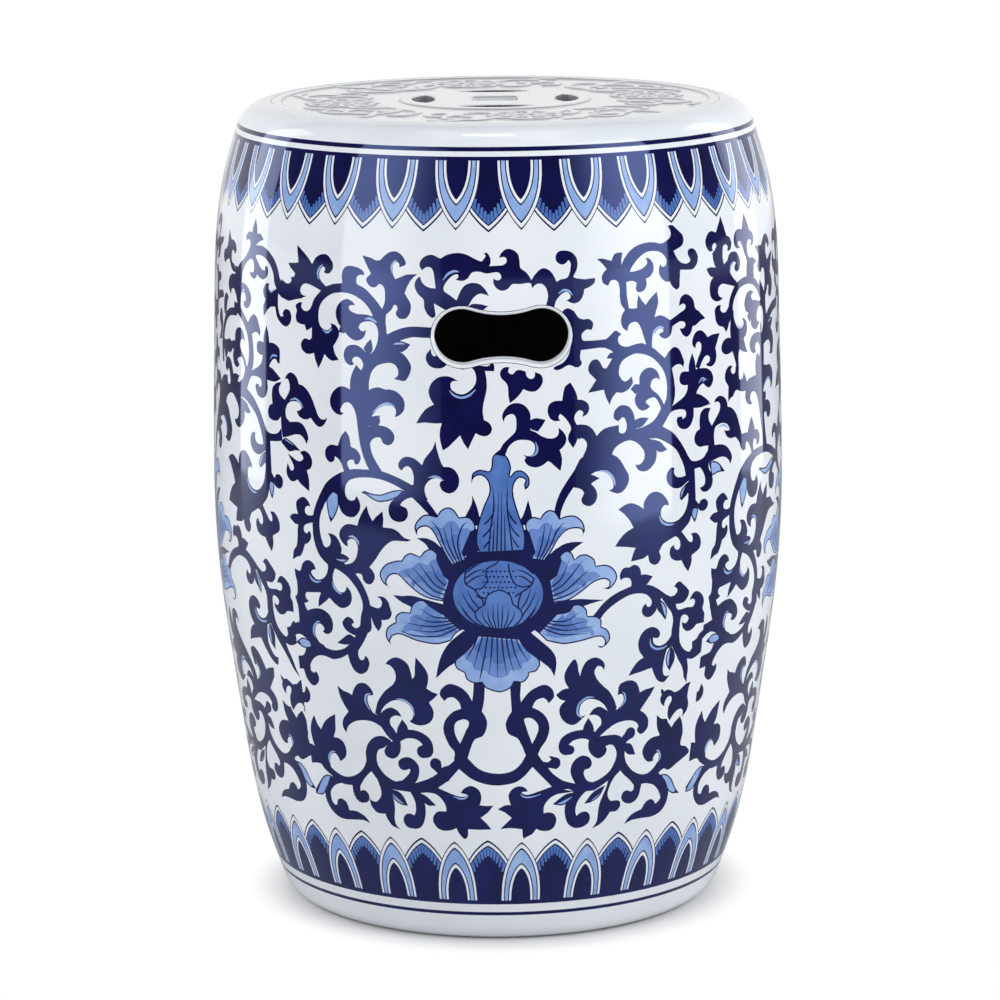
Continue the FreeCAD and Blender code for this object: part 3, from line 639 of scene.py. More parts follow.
def lower_right():
    """Scroll right of the flower's foot."""
    return [
        dark((69.8, 138.5, C), (67.5, 144), (64, 149), (59.5, 153), (56, 157), (54.5, 161), (56, 163.9),
             (58.3, 163.8), (60.4, 161.4, C), (60.5, 165), (58, 168), (54, 169.3), (49.5, 167.5),
             (47, 163.5), (46, 159, C), (45, 162), (44.2, 166.5), (42.3, 169.2), (39.2, 166),
             (36.8, 161), (37.3, 156.5), (39.5, 152.6, C), (36, 152), (32.2, 149.2, C), (34.5, 146.5),
             (37.8, 145.4, C), (35, 142.5), (34.3, 139), (36, 134.8), (39.5, 131.8), (43.5, 130.9),
             (47, 133), (50.6, 136.2, C), (47.5, 135.6), (46.4, 138.5), (47.3, 142.5), (51, 145.2),
             (55, 145), (59, 143.2), (62, 140.5), (64.2, 137, C), (67, 134, C)),
        glint((48.2, 134.5, 0.3), (45.3, 137.5, 1.2), (46, 142.8, 1.2), (50.5, 146.2, 1.1),
              (55, 146.3, 0.3)),
        dark((52.3, 135.8, C), (55, 139.2), (59, 140.3), (64, 137.3, C), (70, 137), (66, 127),
             (60, 129, C), (60.4, 131.5), (59, 134.3), (56, 135.8)),
        *pale_leaf((52, 134.5, C), (49.7, 130.3), (49.2, 127), (52, 125.5), (56.3, 124.3, C),
                   (55.3, 129.5)),
        dark((70.8, 138, C), (73.6, 141.5), (73.6, 144.8), (72, 146.4), (69.8, 145.8, C), (70.2, 151),
             (72.5, 153), (77, 153.8), (81, 152.3), (83.3, 149), (84.3, 145.8, C), (88, 147),
             (94.6, 147.9, C), (92, 143.5), (88.5, 139), (85.6, 135.2, C), (89, 132.8), (91.6, 129.5),
             (92, 125), (90, 122), (87, 121), (84.5, 123.3), (85.2, 126.3, C), (83, 128.6), (79, 130),
             (73, 130), (67, 128), (60.3, 123.2, C), (56.5, 121), (57, 126), (62, 131), (67, 135.5)),
        glint((71.8, 138.2, 0.3), (74.8, 142, 1.1), (74.4, 146, 0.9), (72.6, 147.6, 0.3)),
        vine((57, 122.5, 6), (50.5, 124.9, 5.2), (43, 124.4, 5.4), (38.4, 121.3, 6.4), (38.4, 117.3, 7),
             (41.6, 116.2, 5.6)),
        dark((53.3, 123, C), (52.8, 117.5), (54.8, 112.8), (59.5, 109.8), (63.6, 111.5), (64.9, 114.5),
             (63.9, 116.5, C), (66.3, 117.2), (69.2, 116.3), (71.5, 112), (70.8, 107), (67.5, 101.5),
             (62, 97.8), (56.8, 96, C), (53, 97.5), (50.8, 101.5), (51.4, 104, C), (54.5, 104.7),
             (55.7, 107.6), (53.5, 111.2), (49, 112.4), (44.6, 110), (42.4, 105.5), (43, 101),
             (45.6, 96, C), (40, 94.5), (46, 91, C), (58, 91, C), (62, 93, C), (68, 96.5),
             (74.8, 101, C), (78, 97.8), (82.5, 94), (85.2, 91, C), (90.5, 90.9), (95, 90.8), (100, 89),
             (104, 85.5), (106.6, 80.8), (105, 78.3), (103, 77.4, C), (101.5, 79.6), (98.5, 80.8),
             (95, 79.3), (92.5, 75.7, C), (86.5, 74), (83, 71.5), (80.6, 68.2, C), (86, 70), (93, 70.2),
             (101, 69.9), (107.5, 71.6), (111.5, 75.5), (113, 81), (111.8, 87), (108.5, 92),
             (103.5, 95.8), (110, 99, C), (104, 101, C), (101.8, 102.5), (99, 99.5), (95, 97),
             (90, 96.8), (84, 99.5), (79.5, 104), (77.2, 109), (77, 116), (73.5, 121.4, C), (69, 122.9),
             (60, 122.8)),
        dark((85.2, 91.5, C), (85.2, 88.6), (83.3, 87.5), (81, 88.5), (78, 87.8), (76.9, 84.6),
             (78.8, 81.8), (83, 80.3), (87.2, 81.5), (89.7, 85), (90.8, 91, C)),
        vine((74.5, 117.5, 5), (77.3, 120.2, 5), (79.8, 122.4, 7.2)),
        *pale_leaf((76.6, 117, C), (80.5, 116.3), (82.8, 113.3), (84.5, 109.3, C), (80, 109.8),
                   (77.3, 112)),
        dark((46.3, 92.5, C), (42, 89), (39.8, 84), (39.8, 78), (42, 72.5), (46.5, 69.6), (51.5, 69.7),
             (55.5, 72), (56.3, 76), (53.8, 78.8), (50, 78.6), (47.4, 76.8, C), (46.5, 80),
             (47.3, 84.5), (50, 88.5), (53.5, 91.5, C)),
        *pale_leaf((48, 91, C), (41, 90.6), (36.5, 88.3), (31.8, 84.8, C), (38, 83.8), (43, 86.5)),
        *pale_leaf((65.5, 93.5, C), (60, 91.5), (56, 88.8), (52, 83.6, C), (57, 84.3), (62, 87.5)),
        dark((74.8, 101, C), (71, 97.5), (68.3, 92.5), (67.3, 87.5), (69.5, 83.8), (73, 83.6),
             (76, 82.6), (76.6, 79.6), (74, 77), (69.8, 77, C), (67.3, 73.5), (63.5, 70.3),
             (58.3, 68, C), (61, 72), (61.5, 77), (62, 82), (63.8, 87), (66, 92), (68, 98)),
        dark((46, 91.5, C), (38, 93.2), (31, 95.4, C), (24, 93.3), (17.5, 91.3), (14, 91.6),
             (12.8, 92.8), (16.5, 93.2, C), (14.5, 95.5), (11, 96.4), (7, 94.8), (4.6, 90.8),
             (6, 85.3, C), (2.5, 85.2), (-2, 82.8, C), (2.5, 80.8), (6.6, 77.6, C), (4, 75.2),
             (-0.5, 71, C), (6, 71.5), (13.3, 70.6, C), (13.4, 67.5), (14, 64.8, C), (16.5, 66.2),
             (19.5, 67.5), (22, 70.6, C), (25, 69.3), (29.5, 69), (33, 70.8), (34.6, 75), (33.3, 78.6),
             (30, 80.1), (26.3, 79.8, C), (26.6, 84), (29.5, 88), (34, 90.5), (40, 91.2)),
        glint((24.5, 91.3, 0.3), (18.5, 89.7, 0.8), (14, 90, 0.9), (12, 91.7, 0.3)),
        *pale_leaf((103.5, 94.5, C), (109.5, 94), (114.5, 90.3), (118, 85), (122.5, 80.5, C),
                   (116, 81.5), (111.8, 84.5), (108.5, 90)),
        dark((101.8, 102.3, C), (102.3, 105.5), (101.3, 108), (99.3, 107.5), (97.9, 105.5),
             (98.2, 103.6, C), (94.3, 103.6), (91, 106.3), (89.4, 110.5), (91.5, 115), (96, 117.8),
             (101.4, 118.2, C), (98.7, 123.5), (97.8, 130.8, C), (101.5, 128), (105.6, 127.5, C),
             (107, 125), (110, 121.6, C), (112.3, 124.5), (116, 127.2, C), (118.5, 123), (119.8, 117),
             (119, 110), (124, 108), (127, 104), (118, 99.5), (110, 96.5)),
        glint((102, 102.5, 0.3), (103.4, 105.5, 1.1), (101.6, 109, 1.0), (99.6, 109.3, 0.3)),
    ]


def middle_left():
    """Scroll left of the flower, with its big open ring."""
    return [
        dark((-126, 197.2, C), (-124.2, 192), (-124, 186), (-124.3, 182.8, C), (-129, 181.5),
             (-134, 179.5), (-134, 170.5, C), (-131.5, 172.8), (-128.5, 174.8, C), (-125, 175.7),
             (-121, 174.6), (-117, 172), (-113, 170, C), (-108, 169, C), (-106, 171.2), (-110, 173.3),
             (-112.2, 176.8), (-112.2, 180.3), (-110.6, 183.3), (-108.3, 184.1), (-106.2, 183),
             (-105.3, 181.2), (-106.8, 179.7, C), (-103.8, 178.6), (-100.6, 180), (-99, 183.3),
             (-99.1, 187), (-101, 190.3), (-105, 192.5), (-109, 192.8), (-113, 192), (-117, 190.5, C),
             (-118.3, 193), (-119.5, 196, C)),
        glint((-112.6, 175.6, 0.3), (-113.6, 178.5, 1.2), (-112.6, 182.2, 1.4), (-109.8, 184.9, 1.0),
              (-108, 185.2, 0.3)),
        dark((-84, 180, C), (-88.5, 181.5), (-91.5, 184), (-92.2, 187), (-90, 189.8), (-87.5, 190.4),
             (-85.2, 189.2), (-84.4, 187.4, C), (-86, 186.5), (-85.3, 185.2), (-83.6, 184.3, C),
             (-80, 186, C), (-80, 180, C)),
        vine((-77, 186, 7.4), (-76.6, 191, 6.6), (-75.9, 196, 5), (-76.2, 200.5, 4.6),
             (-78, 205.5, 4.6), (-81, 210.5, 5), (-85.3, 215.2, 5.4), (-91, 218.7, 5.6),
             (-98, 220.6, 5)),
        dark((-75, 199, C), (-71, 197.6), (-68.6, 197.3), (-66.8, 198.6), (-66.3, 200.8),
             (-67.2, 202.8), (-69.2, 203.8, C), (-67, 204.2), (-64.5, 203.6), (-62.3, 201.2),
             (-61.6, 198.5), (-60.6, 195), (-62, 192), (-65, 190.8), (-67.5, 190.8, C),
             (-74.5, 192, C)),
        *pale_leaf((-73.6, 192.8, C), (-70, 191.8), (-67, 190.8, C), (-67.1, 187.5), (-69.3, 184, C),
                   (-72, 187.8)),
        vine((-98, 220.6, 5.4), (-103.4, 225.4, 6), (-106.6, 232.5, 5.6), (-107.5, 240, 5),
             (-106.7, 246.5, 5), (-104.4, 252, 5.2), (-101.3, 257.5, 5.6), (-97, 262.6, 7),
             (-90.5, 267.5, 6.5), (-83, 271, 5.2), (-75, 272, 4.4), (-66, 271.8, 4.6),
             (-58, 269.6, 4.6), (-51, 266.4, 5), (-46, 263, 5.6), (-41, 258, 4.8), (-36.5, 252.8, 4),
             (-34, 249.5, 3.6)),
        dark((-108, 246, C), (-112, 244.9), (-114.8, 245.8), (-115.4, 248), (-113.8, 250),
             (-111.3, 250.2, C), (-112.8, 252.7), (-115.7, 254.7), (-119, 254), (-121.8, 251.5),
             (-122, 248.5), (-120.8, 245, C), (-120.6, 239, C), (-121.3, 236), (-121.6, 231),
             (-122.5, 226.5), (-125, 223.5), (-125.9, 218.3, C), (-122.5, 220.3), (-119.5, 221.3),
             (-117.5, 224.5), (-116, 228.3, C), (-113.3, 229.5), (-111.3, 232.4), (-111.4, 235.2),
             (-112.7, 236.3, C), (-114.4, 234.6), (-116.2, 235.5), (-116.4, 238), (-114.5, 239.8),
             (-108, 241.8, C)),
        *pale_leaf((-127.4, 242.2, C), (-124.5, 244.4), (-120.1, 244.7, C), (-120.1, 238.7, C),
                   (-123.3, 239), (-126, 240.8)),
        dark((-93.5, 262.5, C), (-92, 257), (-91.5, 252.5), (-89.5, 249), (-86, 247.1), (-82, 247.3),
             (-79, 250), (-77.9, 253.5), (-78.6, 256.7), (-80.3, 259.2, C), (-81.4, 257),
             (-83.7, 256.2), (-86, 257.2), (-87.4, 260), (-87, 264.3), (-84.5, 268, C), (-89, 269, C)),
        *pale_leaf((-100, 254.5), (-98.9, 247.5), (-97.3, 242.7, C), (-94.6, 246), (-92, 251.5),
                   (-91.6, 257), (-92.8, 262.4, C), (-96.3, 260), (-99, 257)),
        dark((-87.5, 220.3, C), (-84, 221.5), (-81.3, 224.5), (-80, 229), (-80.3, 232.3), (-82, 234.6),
             (-84.5, 234.9), (-86.4, 233.3), (-86.2, 230.4, C), (-88.5, 231.3), (-91, 234),
             (-91.7, 237), (-90.5, 240), (-87.5, 242.6), (-84, 243.2), (-80, 242.7, C), (-79, 246),
             (-77, 250), (-74, 254.4, C), (-72.8, 250), (-70.5, 246, C), (-68.5, 248.5),
             (-64.5, 251.9, C), (-64, 247.5), (-64.4, 243, C), (-61.5, 242.9), (-58.2, 242.6),
             (-55, 240.8), (-52, 238), (-48, 237.1, C), (-50.5, 236), (-55, 236.1), (-59, 235.7),
             (-62.5, 233.5), (-66, 229.5), (-69, 225), (-73, 220, C), (-71.5, 218.7), (-70, 216),
             (-70.4, 213), (-72.5, 210.6), (-75.3, 210.6), (-77.3, 212.6), (-77.9, 215.2), (-80, 215.9),
             (-83, 215.3, C), (-88, 216)),
        glint((-85.8, 235.9, 0.3), (-83, 236.3, 1.3), (-80, 234.2, 1.1), (-79.2, 232, 0.3)),
        dark((-103.5, 230, C), (-101, 228.5), (-98.6, 229.5), (-97.5, 231.8), (-97.8, 234.3),
             (-99.3, 236.6, C), (-96, 236.4), (-93.5, 235), (-91.4, 232), (-90.3, 228.5),
             (-91, 225.5, C), (-92, 220, C), (-101, 219.5, C)),
        *pale_leaf((-96.8, 223, C), (-93.5, 225.2), (-90.3, 226), (-87.5, 225.2), (-85.5, 223.8, C),
                   (-87.5, 221.6), (-90, 220.8), (-93.5, 221.3)),
        dark((-100, 219.8, C), (-100.2, 215.7), (-102.2, 211.9), (-105, 209.9), (-108.3, 209.4),
             (-111, 211), (-112.2, 213), (-111, 214.4), (-108.6, 215, C), (-110, 217.8),
             (-112.5, 219.4), (-115.5, 219.3), (-118.5, 217), (-120, 213.5), (-121.5, 212.5),
             (-124.9, 213.5, C), (-124.7, 210), (-123.6, 206), (-123.6, 201.5), (-124.2, 198.7),
             (-126, 197.2, C), (-119.5, 194.5), (-115.2, 195.9, C), (-117.2, 197.5), (-117.6, 199.5),
             (-116.5, 201, C), (-112, 201.5), (-106.8, 202.2, C), (-100.5, 200), (-97, 197.3),
             (-93.5, 195.3), (-90, 195.3), (-86.5, 197.5), (-85, 201), (-85.5, 205), (-88, 207.9, C),
             (-88.8, 205.5), (-90.8, 204), (-93.5, 204.6), (-96, 207.3), (-97, 210.5), (-96.8, 213.5),
             (-95.3, 217.2, C)),
        glint((-113.6, 211.6, 0.3), (-112, 209, 1.2), (-108.5, 207.9, 1.2), (-105.2, 208.7, 0.3)),
        glint((-97.7, 209.5, 0.3), (-96.3, 206, 1.2), (-93.2, 203.6, 1.1), (-91.3, 203.3, 0.3)),
        *pale_leaf((-108.3, 193.6, C), (-107.8, 198), (-105.5, 202.5), (-101.8, 205.3, C),
                   (-100.8, 202), (-100.5, 199.7), (-104.5, 196.3)),
    ]


def above_ring():
    """Fleurs and leaves on the shoulder of the left ring."""
    return [
        dark((-46.5, 268, C), (-46.3, 272), (-47.2, 275.5), (-49, 277.4), (-51.2, 277.2),
             (-53.3, 274.9, C), (-55, 277), (-54.6, 279.7), (-52.6, 282), (-49.6, 282.8), (-46, 282),
             (-43.5, 280.2), (-41.5, 278.6, C), (-40.3, 281.7), (-38, 284.7), (-35.5, 288),
             (-34, 291.8, C), (-33.4, 288), (-32, 283), (-30.8, 279.8), (-29.6, 278, C), (-26, 277.8),
             (-23, 275.8), (-21.2, 272), (-21.5, 267.8), (-23.7, 264.6), (-27, 263.5), (-30.2, 264.8),
             (-31.9, 268), (-31, 270.2), (-29.4, 270.6, C), (-33, 271.6), (-36, 271.2), (-38.8, 269),
             (-40.2, 266), (-39.8, 262.5), (-38.3, 259.5, C), (-45, 259, C), (-50, 264.5, C)),
        glint((-38, 271.8, 0.3), (-35, 272.5, 1.2), (-32, 271.9, 1.2), (-30.2, 270.6, 0.3)),
        dark((-51, 263.6, C), (-54, 261), (-58, 258.8), (-60.3, 256), (-61, 252.5), (-60, 249),
             (-57.5, 247), (-54, 246.6), (-51, 248), (-49.7, 251), (-50.3, 254), (-52.3, 255.2),
             (-54.2, 255.9, C), (-53, 257.7), (-50, 259.8), (-46.5, 260.6), (-44, 260, C)),
        *pale_leaf((-77.2, 261.2, C), (-75.3, 262.4), (-71.5, 261.4), (-66, 261), (-62, 262.4),
                   (-57, 264), (-53.5, 264.4), (-50.5, 263.3, C), (-54, 261), (-58, 258.8),
                   (-62, 257.4), (-67, 256.9), (-71, 258.3), (-74, 260.1)),
        dark((-87, 294.5, C), (-85, 292), (-84, 288.5), (-83.7, 286, C), (-80.5, 285), (-78, 282.3),
             (-77.5, 279.5), (-79, 277), (-80.8, 276.5), (-82, 279, C), (-84.2, 278.7), (-85.9, 277.2),
             (-85.6, 275.3), (-83.9, 272.5, C), (-88, 271, C), (-89.3, 275.3), (-91.5, 278.5),
             (-94, 279.8, C), (-94.5, 277.5), (-96.8, 276.1), (-99.3, 277.4), (-100.7, 280.5),
             (-99.8, 284), (-96.5, 286), (-92, 285.8, C), (-91.3, 288), (-89.8, 291.5)),
        dark((-119, 279, C), (-117, 280.3), (-114, 280.4), (-111, 278.3), (-109.7, 274.8),
             (-110.8, 271.5), (-113.6, 269.8, C), (-112.4, 266.5), (-111.9, 263), (-112, 258.3, C),
             (-115, 260), (-118.5, 262), (-120.7, 264, C), (-123, 262.7), (-126, 262.6), (-128.8, 265),
             (-129.6, 268.5), (-128.5, 272.3, C), (-126.8, 269.4), (-125.3, 268.3), (-123.6, 269.5),
             (-124.1, 272), (-126.5, 275.3), (-128.4, 277.6, C), (-125, 276.2), (-121.5, 274.6),
             (-118.5, 274.4), (-116.4, 276), (-117.1, 278)),
        *pale_leaf((-134, 283.2, C), (-131, 285.8), (-128, 285.4), (-123.5, 283.5), (-118.4, 280.2, C),
                   (-122.5, 280), (-127, 278.8), (-130.5, 280.8)),
        dark((-131.3, 318.3, C), (-129.5, 321), (-127, 322.6), (-124, 322.4), (-121, 320),
             (-119.8, 317, C), (-116, 316.2), (-112.5, 313.5), (-109.3, 309), (-107, 304),
             (-105, 300.5), (-102.7, 299.2), (-100.9, 299.5), (-99.2, 300.5, C), (-100.2, 298),
             (-102.5, 295.5), (-105.5, 295), (-108.5, 297), (-110.8, 299.3, C), (-113, 298.3),
             (-116, 298), (-119.5, 299.3), (-121.4, 301.9, C), (-119, 302.6), (-117.7, 304),
             (-119, 306.2), (-122, 307.2), (-125.5, 306.8), (-128.5, 305), (-130.2, 301.5),
             (-129.8, 297.5), (-128.8, 294.9, C), (-124, 295.7), (-119.5, 296), (-116, 294.5),
             (-113.5, 291), (-112.5, 287.5), (-114, 284.3, C), (-115.5, 287), (-118.5, 289),
             (-122.5, 288.8), (-127, 287.3), (-132.5, 285.8, C), (-134, 293), (-133.5, 303),
             (-131.5, 306.5, C), (-129, 309.5), (-127.2, 312.5), (-127, 315.5), (-128, 318.3),
             (-129.5, 319)),
        glint((-126.8, 307.3, 0.3), (-122.5, 308.6, 1.1), (-118.4, 306.6, 1.1), (-116.6, 304, 0.3)),
    ]


def tree_left():
    """The branching stem left of the hand hole."""
    return [
        dark((-71, 272.5, C), (-74, 277), (-76.5, 283), (-78.3, 290), (-79.3, 297), (-80.2, 303),
             (-82, 307.8), (-85, 310.2), (-88, 309.5), (-89.9, 307), (-90.3, 305), (-88.1, 303.8, C),
             (-90.5, 302.8), (-94, 303.8), (-96.8, 307), (-97.3, 311), (-95.5, 315), (-92, 318),
             (-88, 318.7), (-84, 317.3, C), (-84.2, 321), (-83, 326), (-80.2, 331.3, C), (-79, 329.9),
             (-77, 328.3, C), (-75.8, 331.5), (-77.4, 334.5), (-80, 335.6), (-82.3, 334.5),
             (-82.6, 332.8), (-81.4, 331.3, C), (-84, 330.6), (-87, 332.3), (-88.3, 336), (-87, 339.8),
             (-84, 341.7), (-80, 341.9), (-76.5, 340.3), (-73, 337.2, C), (-70, 338.7), (-67.6, 343),
             (-66.6, 348), (-67.2, 352), (-69, 354.4), (-71.5, 355.3), (-75, 355), (-77.4, 353.8),
             (-78.5, 351.8), (-77.3, 350), (-75.6, 349.7), (-74.1, 350.8, C), (-74.8, 347.5),
             (-77, 345.2), (-80.5, 344.3), (-84, 345.5), (-87, 348), (-89.5, 350.5), (-92, 353.5),
             (-93.4, 357.5), (-92.8, 361.5), (-90, 365), (-86, 366.6), (-82.5, 365.3),
             (-80.9, 363.5, C), (-83.8, 363.3), (-84.9, 361.8), (-83, 359.9), (-79, 358.8),
             (-74, 358.9), (-69.8, 358.3, C), (-72, 362), (-76, 366), (-82, 369), (-88, 369.9),
             (-95, 369), (-100.5, 366), (-104, 362), (-105.3, 357), (-104.8, 352), (-102.8, 349.5),
             (-99.5, 348.5), (-97.3, 349.6), (-96.3, 351), (-97, 352.7, C), (-93.7, 351.8),
             (-91.6, 349.5), (-91.2, 346.5), (-93, 343), (-95, 340.3, C), (-94.6, 338), (-93.5, 335.5),
             (-91.4, 333, C), (-95.5, 332.1), (-98.5, 333.2), (-101, 335.3, C), (-103, 331),
             (-105.3, 327.1, C), (-107.5, 331.5), (-108.6, 335.3, C), (-111, 334.5), (-114, 334.4),
             (-117, 336), (-118.2, 339), (-117, 341.6), (-114.5, 342.8), (-112, 342.2),
             (-110.2, 343.3, C), (-110, 349, C), (-115, 350.2, C), (-118.5, 350.2), (-121.5, 351.5),
             (-122.2, 354.5), (-121.4, 357.5), (-122.4, 359.9), (-120, 361.9), (-117.2, 362.2, C),
             (-118, 360), (-116.5, 358.2), (-114, 357.7), (-111.6, 359), (-110, 361.5, C),
             (-108.4, 365), (-103.7, 369.8, C), (-108, 371.4), (-112, 372.5), (-115.5, 372.7),
             (-118, 371), (-118.8, 368.5), (-117.5, 366.5), (-114.4, 365.8, C), (-118, 364.3),
             (-121.5, 363.6), (-124, 363), (-128, 362), (-132, 363), (-134, 364.5, C), (-134, 373.8, C),
             (-131, 371.8), (-128, 371.6), (-126, 373), (-126.4, 375.2, C), (-124.2, 375.7),
             (-123, 377.3, C), (-125, 378.8), (-127, 380.4), (-128.9, 382.8, C), (-126, 383.1),
             (-123, 383.3), (-120.8, 383.8, C), (-121.1, 386), (-121.8, 389), (-122.4, 392.9, C),
             (-120.5, 392), (-116.5, 389.3), (-113, 386.5), (-110.4, 383.7, C), (-108, 387.3),
             (-104, 389.5), (-100, 389.5), (-97, 387), (-95.6, 384), (-96.5, 381), (-99, 379.2),
             (-102, 379.9, C), (-101, 381.4), (-102, 383), (-103.8, 382), (-105, 379), (-104.3, 375.8),
             (-100.3, 372.4, C), (-95, 374.2), (-89.3, 375, C), (-89.7, 379), (-88.8, 382.5),
             (-86, 384.5), (-81, 384.3), (-77.5, 383.2), (-75.6, 381.6), (-75.5, 380.2, C),
             (-78, 380.1), (-79.8, 379), (-80.3, 376.5), (-79.8, 375, C), (-75, 373), (-70, 369),
             (-66.3, 365), (-64.3, 362.5, C), (-62.8, 366), (-62.5, 370), (-63.2, 374), (-65, 375.7),
             (-66.8, 375.5), (-68, 374.1), (-70.5, 373.8), (-73.3, 375.8), (-73.9, 378.5),
             (-71.2, 381.2, C), (-73, 384), (-76.8, 390.6, C), (-72, 389.8), (-68.3, 388.4),
             (-65.6, 388.7, C), (-63.5, 391), (-60, 393.3), (-56, 393.6), (-52.5, 391.3),
             (-50.5, 387.7), (-51.5, 386.3), (-54.4, 385.2, C), (-54.5, 387.3), (-56.2, 388.2),
             (-58, 386.7), (-58.3, 383), (-57.6, 380.5), (-56.5, 378.9, C), (-54, 380), (-50, 381.5),
             (-43.8, 382, C), (-47, 379.3), (-49.5, 375.5), (-51.1, 371.5, C), (-49.5, 369),
             (-47.5, 365.5), (-48, 361), (-50.5, 357.9), (-54, 357.7), (-56, 359.5), (-56.1, 361.2),
             (-55.2, 363), (-55.8, 364.7), (-57.3, 364.9), (-58.6, 362.5), (-60, 361.1),
             (-61.9, 359.5, C), (-62.2, 355), (-61.4, 348.8, C), (-57, 351), (-52, 352.8), (-46, 353.7),
             (-34, 353.5, C), (-34, 347.8, C), (-40, 347.8), (-46, 348), (-50, 347.1), (-54, 345.5),
             (-59, 341.5, C), (-56, 340.3), (-52.5, 339), (-49.5, 336), (-47.5, 332), (-48.5, 327.5),
             (-51, 324.1), (-54.5, 324.2), (-57.6, 324.8, C), (-55.3, 326.5), (-55, 329.5),
             (-56.5, 332.2), (-59.5, 333.4), (-64, 332.8), (-68, 331), (-70.8, 327.5), (-72.3, 322),
             (-72.2, 318, C), (-70, 319), (-66.5, 319.8), (-62.5, 318.8), (-60, 319), (-56, 318),
             (-52.5, 315), (-51.2, 311.5), (-52, 307.5), (-54.5, 305), (-56.9, 303.9, C), (-56.3, 307),
             (-57.2, 309.3), (-60, 310.3), (-64, 309.8), (-67.5, 307.5), (-70.5, 304, C),
             (-72.3, 298, C), (-69, 298.4), (-65.5, 299), (-61, 298), (-58, 295.5), (-57.2, 292.5),
             (-58.5, 289.6), (-61, 288.4), (-64, 289.5), (-65.3, 292.2, C), (-67.5, 292.4),
             (-70, 291.2), (-71.6, 288.8), (-71.3, 286), (-70, 282), (-67.5, 278), (-64, 273, C)),
        glint((-70, 305.8, 0.3), (-66, 309.3, 1.3), (-61.3, 311.2, 1.3), (-57, 310, 0.4)),
        glint((-75, 356.3, 0.3), (-71.5, 356.9, 1.5), (-68, 355.2, 1.1)),
        glint((-102.5, 348.6, 0.3), (-99.3, 347.3, 1.1), (-96.3, 349.3, 0.8)),
        glint((-105.4, 375.6, 0.3), (-106.2, 379.3, 1.2), (-104.3, 382.8, 1.0), (-102.6, 383.8, 0.3)),
        glint((-58.6, 382, 0.3), (-59, 385.3, 1.1), (-57.2, 388.4, 0.9), (-56, 388.9, 0.3)),
        *pale_leaf((-70.8, 303.6, C), (-66, 304.5, C), (-65.7, 301), (-66.8, 298.6, C),
                   (-72.3, 295.8, C), (-71.9, 300.5)),
        *pale_leaf((-71, 345.8, C), (-73.5, 343.6), (-75.7, 340.4, C), (-74, 338), (-72.8, 336.8, C),
                   (-70.4, 339), (-70.1, 342)),
        *pale_leaf((-61.5, 340.6, C), (-58, 344.5), (-54, 345.6), (-50.5, 344.9), (-47.9, 343.9, C),
                   (-50, 341.3), (-52.5, 339.5, C), (-57, 339.8)),
        *pale_leaf((-91.5, 348.3, C), (-90, 352), (-87.8, 352), (-85.6, 350, C), (-88, 347.8)),
        *pale_leaf((-115.6, 350.4, C), (-113.2, 353), (-110.8, 353.6), (-110.2, 349.3), (-114, 347, C)),
    ]


